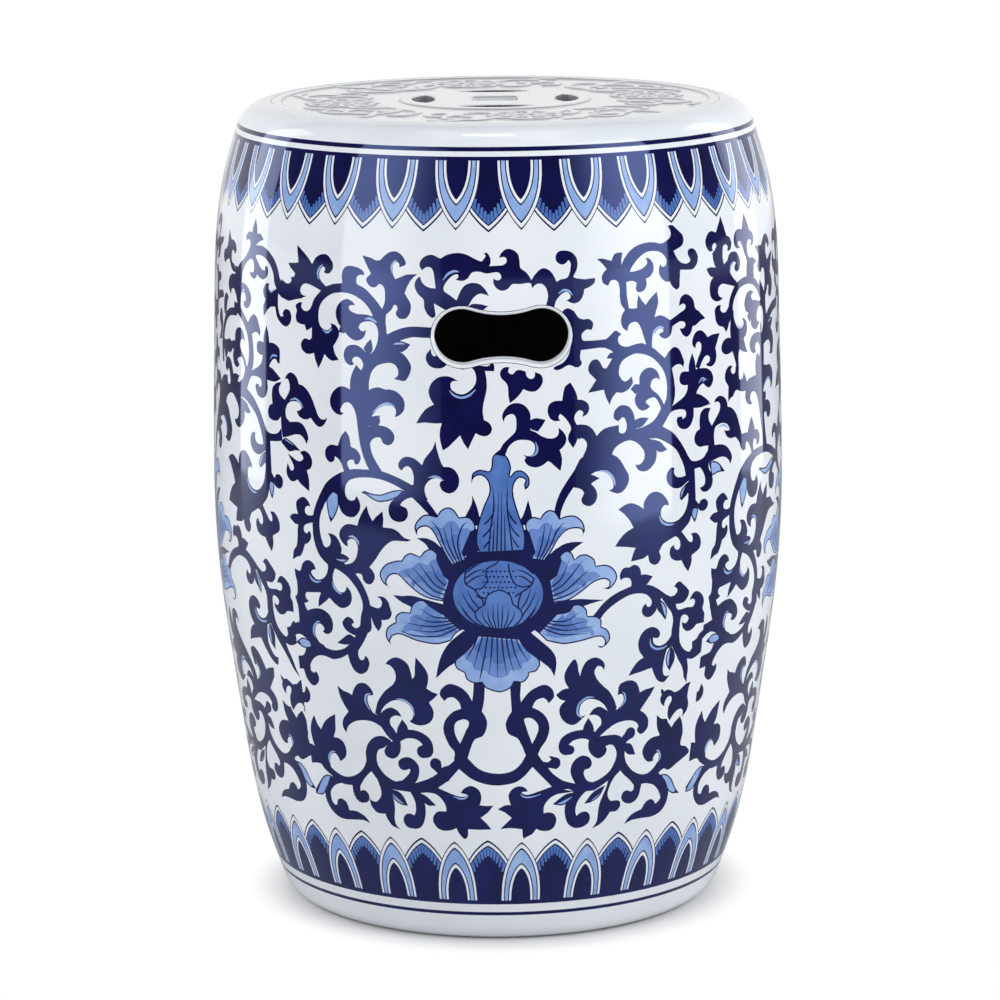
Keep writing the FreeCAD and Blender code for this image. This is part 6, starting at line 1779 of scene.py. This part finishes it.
def add_hand_hole(pile, rim, places, degrees):
    """The rounded rim and the straight sides of one hand hole."""
    last = rim
    for step in range(1, 6):
        turn = math.radians(18 * step)
        outline = hole_outline(HOLE_ROUND * (1 - math.sin(turn)))
        depth = HOLE_ROUND * (1 - math.cos(turn))
        away = np.sqrt(wall_radius(outline[:, 1]) ** 2 - outline[:, 0] ** 2) - depth
        ring = np.column_stack([outline[:, 0], -away, outline[:, 1]])
        numbers = pile.add_points(turned(along(ring, places), degrees))
        pile.bridge(numbers, last, WHITE)
        last = numbers
    outline = hole_outline(0.0)
    away = np.sqrt(inner_radius(outline[:, 1]) ** 2 - outline[:, 0] ** 2)
    ring = along(np.column_stack([outline[:, 0], -away, outline[:, 1]]), places)
    numbers = pile.add_points(turned(ring, degrees))
    pile.bridge(numbers, last, WHITE)
    return ring


def add_outside(pile):
    """The painted wall and its hand holes. Returns the second hole's inner edge."""
    flat, faces, paints = painted_sheet(all_shapes())
    rim, places = hole_loop(flat, faces)
    for degrees in (0, 180):
        numbers = pile.add_points(wall_point(flat[:, 0] + degrees * SPREAD, flat[:, 1]))
        pile.add_faces(numbers[faces], paints)
        ring = add_hand_hole(pile, numbers[rim], places, degrees)
    return ring


def add_inside(pile, ring):
    """The bare wall of the hollow, from the inner edge of a hand hole, in clay darkened as painted
    shade.
    """
    turn = np.degrees(np.arctan2(ring[:, 0], -ring[:, 1]))
    flat, faces = inner_sheet(np.column_stack([turn * SPREAD, ring[:, 2]]))
    for degrees in (0, 180):
        angle = np.radians(flat[:, 0] / SPREAD + degrees)
        radius = inner_radius(flat[:, 1])
        numbers = pile.add_points(np.column_stack([
            radius * np.sin(angle), -radius * np.cos(angle), flat[:, 1]]))
        pile.add_faces(numbers[faces[:, ::-1]], SHADED_CLAY)


def add_shoulder(pile, turns):
    """The rounded shoulder, the rebate of the seat and the mouth below it."""
    start = math.degrees(math.asin((PAINT_HIGH - SHOULDER_HEIGHT) / SHOULDER_ROUND))
    pile.rings(
        arc(shoulder_middle, SHOULDER_HEIGHT, SHOULDER_ROUND, start, 90, steps=9)
        + [(SEAT_RADIUS, OVERALL_HEIGHT), (SEAT_RADIUS, SEAT_FLOOR)], WHITE, turns)
    top = float(inner_radius(CEILING - INNER_ROUND))
    pile.rings(
        [(SEAT_RADIUS, SEAT_FLOOR), (MOUTH_RADIUS, SEAT_FLOOR), (MOUTH_RADIUS, CEILING)]
        + arc(top - INNER_ROUND, CEILING - INNER_ROUND, INNER_ROUND, 90, 0, steps=6), SHADED_CLAY, turns)


def add_foot(pile, turns):
    """The foot, bare where it stands on the floor and glazed above."""
    bottom = float(inner_radius(HOLLOW_FLOOR))
    pile.rings(
        [(bottom, HOLLOW_FLOOR), (FOOT_RIM_RADIUS, HOLLOW_FLOOR), (FOOT_RIM_RADIUS, 0.0),
         (foot_middle, 0.0)], SHADED_CLAY, turns)
    end = -math.degrees(math.asin((FOOT_ROUND - PAINT_LOW) / FOOT_ROUND))
    foot = arc(foot_middle, FOOT_ROUND, FOOT_ROUND, -90, end, steps=8)
    pile.rings(foot[:3], SHADED_CLAY, turns)
    pile.rings(foot[2:], WHITE, turns)


def make_barrel(materials):
    """The whole barrel as one closed shell, painted outside."""
    pile = Pile()
    add_inside(pile, add_outside(pile))
    turns = np.radians(np.arange(0, 360, STEP))
    add_shoulder(pile, turns)
    add_foot(pile, turns)
    return pile.build("barrel", materials, barrel_normal)


# The pierced seat with its moulded relief

SEAT_EDGE = 127.2
SEAT_ROUND = 1.2
BORDER_START = 120.6            # radius where the rise to the border starts
BORDER_RISE = 1.8               # and how wide it is
COIN_RADIUS = 54.0
COIN_RISE = 2.4
RELIEF_SHARE = 0.92             # height of the moulding against the border's
FIELD_HEIGHT = 459.0
PIERCE_ROUND = 0.6
SQUARE_CORNER = 10.5            # the middle of a corner's rounding, across and along
SQUARE_ROUND = 2.0
COARSE_GAP = 3.0                # between the points of the plain coin
FINE_GAP = 1.2                  # and of the moulded field
HOLE_PAINTS = (0, 1, 2, 1, 2)   # material slots of the walls of the square and the four slots, with painted shadow: near black in the back and front slots, mid grey in the side slots


def square_outline():
    """The square hole in the middle of the coin, with soft corners."""
    turns = np.radians([0, 30, 60, 90])
    corner = SQUARE_CORNER + SQUARE_ROUND * np.column_stack([np.cos(turns), np.sin(turns)])
    quarter = np.array([[0.0, 1.0], [-1.0, 0.0]])
    rows = [corner]
    while len(rows) < 4:
        rows.append(rows[-1] @ quarter)
    return np.vstack(rows)


def slot_outline(number):
    """One of the four lens-shaped slots, as in the clay."""
    left = np.array([-20.5, 38.63])
    right = np.array([20.5, 38.63])
    outer = through([left, (-18.6, 41.9), (-11, 45.6), (0, 47.3), (11, 45.6), (18.6, 41.9), right],
                    pieces=4)
    inner = through([right, (11, 35.2), (0, 34.3), (-11, 35.2), left], pieces=4)
    lens = np.vstack([outer[:-1], inner[:-1]])[::-1]
    turn = math.radians(90 * number)
    spin = np.array([[math.cos(turn), math.sin(turn)], [-math.sin(turn), math.cos(turn)]])
    return lens @ spin


def grown(outline, grow):
    """A closed outline moved outwards."""
    ahead = np.roll(outline, -1, axis=0) - np.roll(outline, 1, axis=0)
    ahead /= np.hypot(*ahead.T)[:, None]
    return outline + np.column_stack([ahead[:, 1], -ahead[:, 0]]) * grow


def relief_lines():
    """Centre lines of the moulded scroll, as rows of (x, y, width) in mm."""
    lines = []
    for number in range(4):
        turn = math.radians(90 * number + 10)
        for line in relief_unit():
            rows = np.array(line, float)
            x = rows[:, 0] * math.cos(turn) - rows[:, 1] * math.sin(turn)
            y = rows[:, 0] * math.sin(turn) + rows[:, 1] * math.cos(turn)
            lines.append(through(np.column_stack([x, y, rows[:, 2]]), pieces=5))
    return lines


def relief_unit():
    """One quarter of the moulded scroll: a round blossom, its vine and its leaves."""
    unit = []
    middle = np.array([0.0, -88.0])
    for number in range(9):
        turn = math.tau * number / 9
        out = np.array([math.sin(turn), math.cos(turn)])
        side = np.array([out[1], -out[0]])
        tip = middle + out * 19.5
        unit.append([(*(middle + out * 8 - side * 2.5), 2.0), (*(tip - side * 5.0 - out * 3), 2.6),
                     (*tip, 2.8), (*(tip + side * 5.0 - out * 3), 2.6),
                     (*(middle + out * 8 + side * 2.5), 2.0)])
        unit.append([(*(middle + out * 9), 1.6), (*(middle + out * 15), 1.0)])
    ring = [(*(middle + 6.5 * np.array([math.sin(t), math.cos(t)])), 2.4)
            for t in np.linspace(0, math.tau, 13)]
    unit.append(ring)
    unit.append([(*middle, 5.0), (*(middle + 0.1), 5.0)])
    unit.append([(19, -79, 3.5), (28, -66, 3.6), (42, -62, 3.6), (54, -68, 3.6), (60, -80, 3.4),
                 (53, -92, 3.2), (42, -92, 3.0), (38, -84, 2.6), (43, -79, 3.4)])
    unit.append([(42, -62, 3.6), (52, -55, 3.4), (63, -56, 3.2), (72, -64, 3.0), (70, -72, 3.4)])
    unit.append([(28, -66, 3.4), (30, -76, 4.5), (27, -84, 3.8), (21, -86, 3.0)])
    unit.append([(54, -68, 3.2), (47, -73, 4.2), (44, -70, 3.0)])
    unit.append([(53, -92, 3.0), (50, -101, 4.2), (42, -105, 3.6), (35, -101, 2.6)])
    unit.append([(42, -92, 3.0), (33, -97, 4.2), (27, -107, 3.4), (18, -111, 2.6)])
    unit.append([(-19, -95, 3.4), (-27, -103, 3.6), (-38, -103, 3.4), (-46, -95, 3.2),
                 (-44, -85, 3.0), (-36, -82, 2.6), (-32, -88, 3.6)])
    unit.append([(-38, -103, 3.2), (-47, -106, 4.2), (-56, -101, 3.0)])
    unit.append([(-44, -85, 3.0), (-52, -80, 4.2), (-50, -70, 3.6), (-42, -68, 2.4)])
    unit.append([(-36, -82, 2.8), (-33, -73, 4.2), (-24, -68, 3.4), (-18, -72, 2.4)])
    unit.append([(60, -80, 3.2), (70, -84, 4.4), (76, -93, 2.2)])
    return unit


def relief_height(points, lines):
    """How high the moulding stands at points of the seat, from 0 to 1 mm."""
    height = np.zeros(len(points))
    for line in lines:
        low, high = line[:, :2].min(axis=0) - 4, line[:, :2].max(axis=0) + 4
        near = np.flatnonzero(((points > low) & (points < high)).all(axis=1))
        if not len(near):
            continue
        spots = points[near][:, None, :]
        start, end = line[:-1, :2], line[1:, :2]
        run = end - start
        part = ((spots - start) * run).sum(axis=2) / np.maximum((run ** 2).sum(axis=1), 1e-9)
        part = np.clip(part, 0, 1)
        off = np.hypot(*np.moveaxis(spots - start - run * part[:, :, None], 2, 0))
        half = (line[:-1, 2] * (1 - part) + line[1:, 2] * part) / 2
        bump = np.clip(1.5 - 0.95 * off / half, 0, 1).max(axis=1)
        bump = bump * bump * (3 - 2 * bump)
        height[near] = np.maximum(height[near], bump)
    return height


def seat_height(points):
    """Heights of the seat's top at points of the plan."""
    radius = np.hypot(*points.T)
    border = np.clip((radius - BORDER_START) / BORDER_RISE, 0, 1)
    coin = np.clip((COIN_RADIUS + COIN_RISE / 2 - radius) / COIN_RISE, 0, 1)
    plain = np.maximum(border, coin)
    plain = plain * plain * (3 - 2 * plain)
    relief = relief_height(points, relief_lines()) * RELIEF_SHARE
    return FIELD_HEIGHT + np.clip(np.maximum(plain, relief), 0, 1)


def seat_points():
    """Points of the seat's top, closer together over the moulding."""
    rings = []
    radius = 14.0
    while radius < 125.4:
        gap = COARSE_GAP if radius < COIN_RADIUS - 3 else FINE_GAP
        count = int(math.tau * radius / gap)
        turns = (np.arange(count) + 0.5 * ((len(rings) + 1) % 2)) * math.tau / count
        rings.append(np.column_stack([radius * np.cos(turns), radius * np.sin(turns)]))
        radius += gap * 0.9
    return np.vstack(rings)


def disc_sheet(points, outlines, rim):
    """Flat triangles of a disc with holes."""
    edges = []
    places = [points]
    start = len(points)
    for outline in outlines + [rim]:
        edges.extend(loop_edges(start, len(outline)))
        places.append(outline)
        start += len(outline)
    flat, faces = cut_flat(np.vstack(places), edges)
    middles = flat[faces].mean(axis=1)
    keep = inside(middles, rim)
    for outline in outlines:
        keep &= ~inside(middles, outline)
    return flat, faces[keep]


def pierce(pile, hole, paint):
    """The soft upper edge and the straight wall of one opening."""
    last = None
    for step in range(6):
        turn = math.radians(18 * step)
        outline = grown(hole, PIERCE_ROUND * (1 - math.sin(turn)))
        depth = PIERCE_ROUND * (1 - math.cos(turn))
        ring = np.column_stack([outline, np.full(len(outline), OVERALL_HEIGHT - depth)])
        numbers = pile.add_points(ring)
        if last is not None:
            pile.bridge(numbers, last, 0)
        last = numbers
    numbers = pile.add_points(np.column_stack([hole, np.full(len(hole), SEAT_FLOOR)]))
    pile.bridge(numbers, last, paint)


def make_seat(materials):
    """The seat disc: moulded top, rounded edge, and the pierced coin."""
    pile = Pile()
    holes = [square_outline()] + [slot_outline(number) for number in range(4)]
    turns = np.radians(np.arange(0, 360, 2))
    circle = np.column_stack([np.sin(turns), -np.cos(turns)])
    points = seat_points()
    for hole in holes:
        points = points[~inside(points, grown(hole, PIERCE_ROUND + 0.4))]
    flat, faces = disc_sheet(
        points, [grown(hole, PIERCE_ROUND) for hole in holes], circle * (SEAT_EDGE - SEAT_ROUND))
    numbers = pile.add_points(np.column_stack([flat, seat_height(flat)]))
    pile.add_faces(numbers[faces], 0)
    edge = arc(SEAT_EDGE - SEAT_ROUND, OVERALL_HEIGHT - SEAT_ROUND, SEAT_ROUND, 90, 0, steps=5)
    pile.rings(edge[::-1], 0, turns)
    pile.rings([(SEAT_EDGE, SEAT_FLOOR), (SEAT_EDGE, OVERALL_HEIGHT - SEAT_ROUND)], 0, turns)
    for hole, paint in zip(holes, HOLE_PAINTS):
        pierce(pile, hole, paint)
    flat, faces = disc_sheet(np.zeros((0, 2)), holes, circle * SEAT_EDGE)
    numbers = pile.add_points(np.column_stack([flat, np.full(len(flat), SEAT_FLOOR)]))
    pile.add_faces(numbers[faces[:, ::-1]], 0)
    return pile.build("seat", materials)


# Materials

def new_material(name):
    """An empty node material with its principled shader."""
    material = bpy.data.materials.new(name)
    material.use_nodes = True
    return material, material.node_tree, material.node_tree.nodes["Principled BSDF"]


def mottled(tree, shader, first, second, size, detail=4.0):
    """Sets the shader's colour to a soft mottle of two colours, with spots of a size in mm."""
    place = tree.nodes.new("ShaderNodeTexCoord")
    noise = tree.nodes.new("ShaderNodeTexNoise")
    noise.inputs["Scale"].default_value = 1 / (size * MM)
    noise.inputs["Detail"].default_value = detail
    ramp = tree.nodes.new("ShaderNodeValToRGB")
    ramp.color_ramp.elements[0].position = 0.35
    ramp.color_ramp.elements[0].color = (*first, 1)
    ramp.color_ramp.elements[1].position = 0.65
    ramp.color_ramp.elements[1].color = (*second, 1)
    tree.links.new(place.outputs["Object"], noise.inputs["Vector"])
    tree.links.new(noise.outputs["Fac"], ramp.inputs["Fac"])
    tree.links.new(ramp.outputs["Color"], shader.inputs["Base Color"])
    return place


def rippled(tree, shader, place, size, strength, depth):
    """Gives the surface a fine unevenness, with ripples of a size in mm."""
    noise = tree.nodes.new("ShaderNodeTexNoise")
    noise.inputs["Scale"].default_value = 1 / (size * MM)
    noise.inputs["Detail"].default_value = 3.0
    bump = tree.nodes.new("ShaderNodeBump")
    bump.inputs["Strength"].default_value = strength
    bump.inputs["Distance"].default_value = depth * MM
    tree.links.new(place.outputs["Object"], noise.inputs["Vector"])
    tree.links.new(noise.outputs["Fac"], bump.inputs["Height"])
    tree.links.new(bump.outputs["Normal"], shader.inputs["Normal"])


def glaze(name, first, second, size, roughness=0.06, tint=(1, 1, 1), bending=1.42):
    """Clear glossy glaze over a colour that varies a little."""
    material, tree, shader = new_material(name)
    place = mottled(tree, shader, first, second, size)
    rippled(tree, shader, place, size=14.0, strength=0.10, depth=0.05)
    shader.inputs["Roughness"].default_value = roughness
    shader.inputs["IOR"].default_value = bending
    shader.inputs["Specular Tint"].default_value = (*tint, 1)
    return material


# Painted shade on the seat: grey of the glaze over the height of the moulding, with both as shares
RELIEF_SHADE_GREYS = ((0.04, 0.80), (0.22, 0.34), (0.55, 0.54), (0.85, 1.0))


def relief_painted_shade(material, low, high):
    """Paints shade into the glaze: greyer on the lower slopes of a moulding, between two heights in mm.
    """
    tree = material.node_tree
    shader = tree.nodes["Principled BSDF"]
    plain = shader.inputs["Base Color"].links[0].from_socket
    place = tree.nodes.new("ShaderNodeTexCoord")
    parts = tree.nodes.new("ShaderNodeSeparateXYZ")
    height = tree.nodes.new("ShaderNodeMapRange")
    height.inputs["From Min"].default_value = low * MM
    height.inputs["From Max"].default_value = high * MM
    ramp = tree.nodes.new("ShaderNodeValToRGB")
    ramp.color_ramp.elements[0].color = (1, 1, 1, 1)
    ramp.color_ramp.elements[1].color = (1, 1, 1, 1)
    for position, grey in RELIEF_SHADE_GREYS:
        ramp.color_ramp.elements.new(position).color = (grey, grey, grey * 1.02, 1)
    mix = tree.nodes.new("ShaderNodeMix")
    mix.data_type = "RGBA"
    mix.blend_type = "MULTIPLY"
    mix.inputs["Factor"].default_value = 1.0
    tree.links.new(place.outputs["Object"], parts.inputs["Vector"])
    tree.links.new(parts.outputs["Z"], height.inputs["Value"])
    tree.links.new(height.outputs["Result"], ramp.inputs["Fac"])
    tree.links.new(plain, mix.inputs["A"])
    tree.links.new(ramp.outputs["Color"], mix.inputs["B"])
    tree.links.new(mix.outputs["Result"], shader.inputs["Base Color"])
    return material


def clay(name, first, second):
    """Bare fired clay: matt, with grains and small iron specks."""
    material, tree, shader = new_material(name)
    place = mottled(tree, shader, first, second, size=9.0, detail=8.0)
    rippled(tree, shader, place, size=1.6, strength=0.35, depth=0.25)
    shader.inputs["Roughness"].default_value = 0.85
    return material


barrel_materials = [
    glaze("glaze_white", (0.73, 0.74, 0.77), (0.77, 0.775, 0.80), 45.0),
    glaze("glaze_cobalt", (0.0022, 0.0011, 0.034), (0.0044, 0.0026, 0.060), 16.0,
          tint=(0.36, 0.48, 1), bending=1.6),
    glaze("glaze_blue", (0.052, 0.125, 0.38), (0.09, 0.185, 0.47), 12.0),
    glaze("glaze_pale_blue", (0.21, 0.33, 0.62), (0.31, 0.43, 0.70), 12.0),
    glaze("glaze_wash", (0.095, 0.185, 0.47), (0.15, 0.25, 0.55), 12.0),
    # the barrel's bare clay, made far darker than the base ring's clay as painted shade of the unlit
    # hollow; it also colours the mouth and the foot's bare edge
    clay("clay_barrel_painted_shade", (0.20, 0.17, 0.145), (0.29, 0.25, 0.21)),
]

barrel = make_barrel(barrel_materials)
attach(barrel, "root")
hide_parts("lower_wall", "upper_wall")

seat_glaze = glaze("glaze_seat", (0.775, 0.775, 0.77), (0.81, 0.81, 0.80), 40.0, 0.09)
seat = make_seat([
    # the seat's glaze, with painted shade on the lower slopes of its moulding, border and coin
    relief_painted_shade(seat_glaze, FIELD_HEIGHT, OVERALL_HEIGHT),
    # painted shadow for the walls of the back and front slots, and painted shade for those of the side
    # slots
    glaze("glaze_slot_shadow", (0.045, 0.047, 0.055), (0.08, 0.082, 0.09), 6.0, 0.35),
    glaze("glaze_shaded", (0.24, 0.245, 0.255), (0.32, 0.325, 0.335), 6.0, 0.3),
])
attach(seat, "root")
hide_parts("seat_disc")

base_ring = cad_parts["base_ring"]
base_ring.data.materials.clear()
base_ring.data.materials.append(clay("clay_base", (0.50, 0.43, 0.34), (0.62, 0.55, 0.45)))


# Stage: a pale floor that fades into a white background

STAGE_COLOUR = (0.70, 0.70, 0.71, 1)
SHADOW_FADE = (0.112, 0.150)    # metres from the axis where the floor turns white to the eye
MIRROR_FADE = (3.0, 6.0)        # and where it turns white in reflections
WORLD_COLOUR = (0.94, 0.97, 1, 1)
LAMP_COLOUR = (0.93, 0.97, 1.0)


def fade_out(tree, distance, low, high):
    """A share that rises from 0 to 1 between two distances from the stool."""
    fade = tree.nodes.new("ShaderNodeMapRange")
    fade.interpolation_type = "SMOOTHSTEP"
    fade.inputs["From Min"].default_value = low
    fade.inputs["From Max"].default_value = high
    tree.links.new(distance, fade.inputs["Value"])
    return fade.outputs["Result"]


def join_shares(tree, operation, first, second):
    """Two shares put together by an operation, and kept below 1."""
    node = tree.nodes.new("ShaderNodeMath")
    node.operation = operation
    node.use_clamp = True
    tree.links.new(first, node.inputs[0])
    tree.links.new(second, node.inputs[1])
    return node.outputs["Value"]


def stage_plane(name, corners, roughness):
    """A pale plane for the stage, with its material's nodes and its light path."""
    mesh = bpy.data.meshes.new(name)
    mesh.from_pydata(corners, [], [(0, 1, 2, 3)])
    plane = bpy.data.objects.new(name, mesh)
    bpy.context.scene.collection.objects.link(plane)
    material, tree, shader = new_material(name + "_white")
    shader.inputs["Base Color"].default_value = STAGE_COLOUR
    shader.inputs["Roughness"].default_value = roughness
    mesh.materials.append(material)
    return plane, tree, tree.nodes.new("ShaderNodeLightPath")


def mirror_rays(tree, path):
    """1 for glossy and transmission rays, and 0 for all others."""
    return join_shares(
        tree, "ADD", path.outputs["Is Glossy Ray"], path.outputs["Is Transmission Ray"])


def show_white(tree, share):
    """Shows plain white in place of the plane's own colour, by a share."""
    white = tree.nodes.new("ShaderNodeEmission")
    mix = tree.nodes.new("ShaderNodeMixShader")
    shader = tree.nodes["Principled BSDF"]
    tree.links.new(share, mix.inputs["Fac"])
    tree.links.new(shader.outputs["BSDF"], mix.inputs[1])
    tree.links.new(white.outputs["Emission"], mix.inputs[2])
    tree.links.new(mix.outputs["Shader"], tree.nodes["Material Output"].inputs["Surface"])


def make_floor():
    """A wide pale floor with the stool's shadow, which shows plain white further out."""
    reach = 30.0
    corners = [(-reach, -reach, 0), (reach, -reach, 0), (reach, reach, 0), (-reach, reach, 0)]
    floor, tree, path = stage_plane("floor", corners, roughness=0.5)
    place = tree.nodes.new("ShaderNodeTexCoord")
    length = tree.nodes.new("ShaderNodeVectorMath")
    length.operation = "LENGTH"
    tree.links.new(place.outputs["Object"], length.inputs[0])
    distance = length.outputs["Value"]
    near = fade_out(tree, distance, *SHADOW_FADE)
    far = fade_out(tree, distance, *MIRROR_FADE)
    seen = join_shares(tree, "MULTIPLY", near, path.outputs["Is Camera Ray"])
    mirrored = join_shares(tree, "MULTIPLY", far, mirror_rays(tree, path))
    show_white(tree, join_shares(tree, "ADD", seen, mirrored))


def make_backdrop():
    """A white wall far behind the stool, which the seat and the sides reflect."""
    corners = [(-14, 7, 0), (14, 7, 0), (14, 7, 7), (-14, 7, 7)]
    backdrop, tree, path = stage_plane("backdrop", corners, roughness=0.9)
    show_white(tree, join_shares(
        tree, "ADD", path.outputs["Is Camera Ray"], mirror_rays(tree, path)))


def make_world(strength):
    """Even soft light from all round."""
    world = bpy.data.worlds.new("studio")
    world.use_nodes = True
    bpy.context.scene.world = world
    tree = world.node_tree
    background = tree.nodes["Background"]
    background.inputs["Color"].default_value = WORLD_COLOUR
    background.inputs["Strength"].default_value = strength


def add_softbox(name, azimuth, distance, height, size, power, aim):
    """A softbox aimed at a height on the stool's axis. Azimuth 0 is the front, 90 the right."""
    light = bpy.data.lights.new(name, "AREA")
    light.shape = "RECTANGLE"
    light.size, light.size_y = size
    light.energy = power
    light.color = LAMP_COLOUR
    turn = math.radians(azimuth)
    place = Vector((distance * math.sin(turn), -distance * math.cos(turn), height))
    box = bpy.data.objects.new(name, light)
    box.location = place
    aim = Vector((0, 0, aim)) - place
    box.rotation_euler = aim.to_track_quat("-Z", "Y").to_euler()
    bpy.context.scene.collection.objects.link(box)
    return light


def soft_side(light, full, empty):
    """Lets a softbox fade out towards one side, between two places across its width."""
    light.use_nodes = True
    tree = light.node_tree
    place = tree.nodes.new("ShaderNodeNewGeometry")
    parts = tree.nodes.new("ShaderNodeSeparateXYZ")
    fade = tree.nodes.new("ShaderNodeMapRange")
    fade.interpolation_type = "SMOOTHSTEP"
    fade.inputs["From Min"].default_value = full
    fade.inputs["From Max"].default_value = empty
    fade.inputs["To Min"].default_value = 1.0
    fade.inputs["To Max"].default_value = 0.12
    tree.links.new(place.outputs["Parametric"], parts.inputs["Vector"])
    tree.links.new(parts.outputs["X"], fade.inputs["Value"])
    tree.links.new(fade.outputs["Result"], tree.nodes["Emission"].inputs["Strength"])


make_floor()
make_backdrop()
make_world(0.22)
left = add_softbox("left_softbox", -42, 1.3, 0.70, (0.95, 1.3), power=15.0, aim=0.70)
soft_side(left, full=0.35, empty=1.0)
right = add_softbox("right_softbox", 48, 1.3, 0.75, (0.95, 1.5), power=21.0, aim=0.75)
soft_side(right, full=0.65, empty=0.0)
add_softbox("left_rim", -112, 1.5, 0.8, (0.5, 1.6), power=8.0, aim=0.8)
add_softbox("right_rim", 118, 1.5, 0.8, (0.5, 1.6), power=6.0, aim=0.8)
add_softbox("top_softbox", 0, 0.22, 1.8, (0.9, 0.9), power=3.6, aim=0.4)
add_softbox("highlight_softbox", -12, 0.24, 1.79, (0.31, 0.20), power=2.0, aim=0.45)


# Camera at the photo's place

CAMERA_DISTANCE = 2400.2
CAMERA_HEIGHT = 709.8
CAMERA_PITCH = 0.1984
CAMERA_YAW = 0.0004
CAMERA_ROLL = -0.008
CAMERA_TURN = -0.9              # degrees round the stool
FOCAL_PIXELS = 4232.3
SENSOR = 36.0
PICTURE_SIDE = 1000             # pixels of the photo


def make_camera():
    """The camera, with its lens worked out for a square picture."""
    data = bpy.data.cameras.new("camera")
    data.sensor_fit = "HORIZONTAL"
    data.sensor_width = SENSOR
    data.lens = FOCAL_PIXELS * SENSOR / PICTURE_SIDE
    camera = bpy.data.objects.new("camera", data)
    bpy.context.scene.collection.objects.link(camera)
    ahead = Vector((
        math.sin(CAMERA_YAW) * math.cos(CAMERA_PITCH),
        math.cos(CAMERA_YAW) * math.cos(CAMERA_PITCH), -math.sin(CAMERA_PITCH)))
    side = Vector((math.cos(CAMERA_YAW), -math.sin(CAMERA_YAW), 0))
    up = side.cross(ahead)
    right = math.cos(CAMERA_ROLL) * side + math.sin(CAMERA_ROLL) * up
    top = -math.sin(CAMERA_ROLL) * side + math.cos(CAMERA_ROLL) * up
    basis = Matrix((right, top, -ahead)).transposed().to_4x4()
    place = Matrix.Translation(Vector((0, -CAMERA_DISTANCE, CAMERA_HEIGHT)) * MM)
    spin = Matrix.Rotation(math.radians(CAMERA_TURN), 4, "Z")
    camera.matrix_world = spin @ place @ basis
    bpy.context.scene.camera = camera


make_camera()
bpy.context.scene.view_settings.view_transform = "Standard"
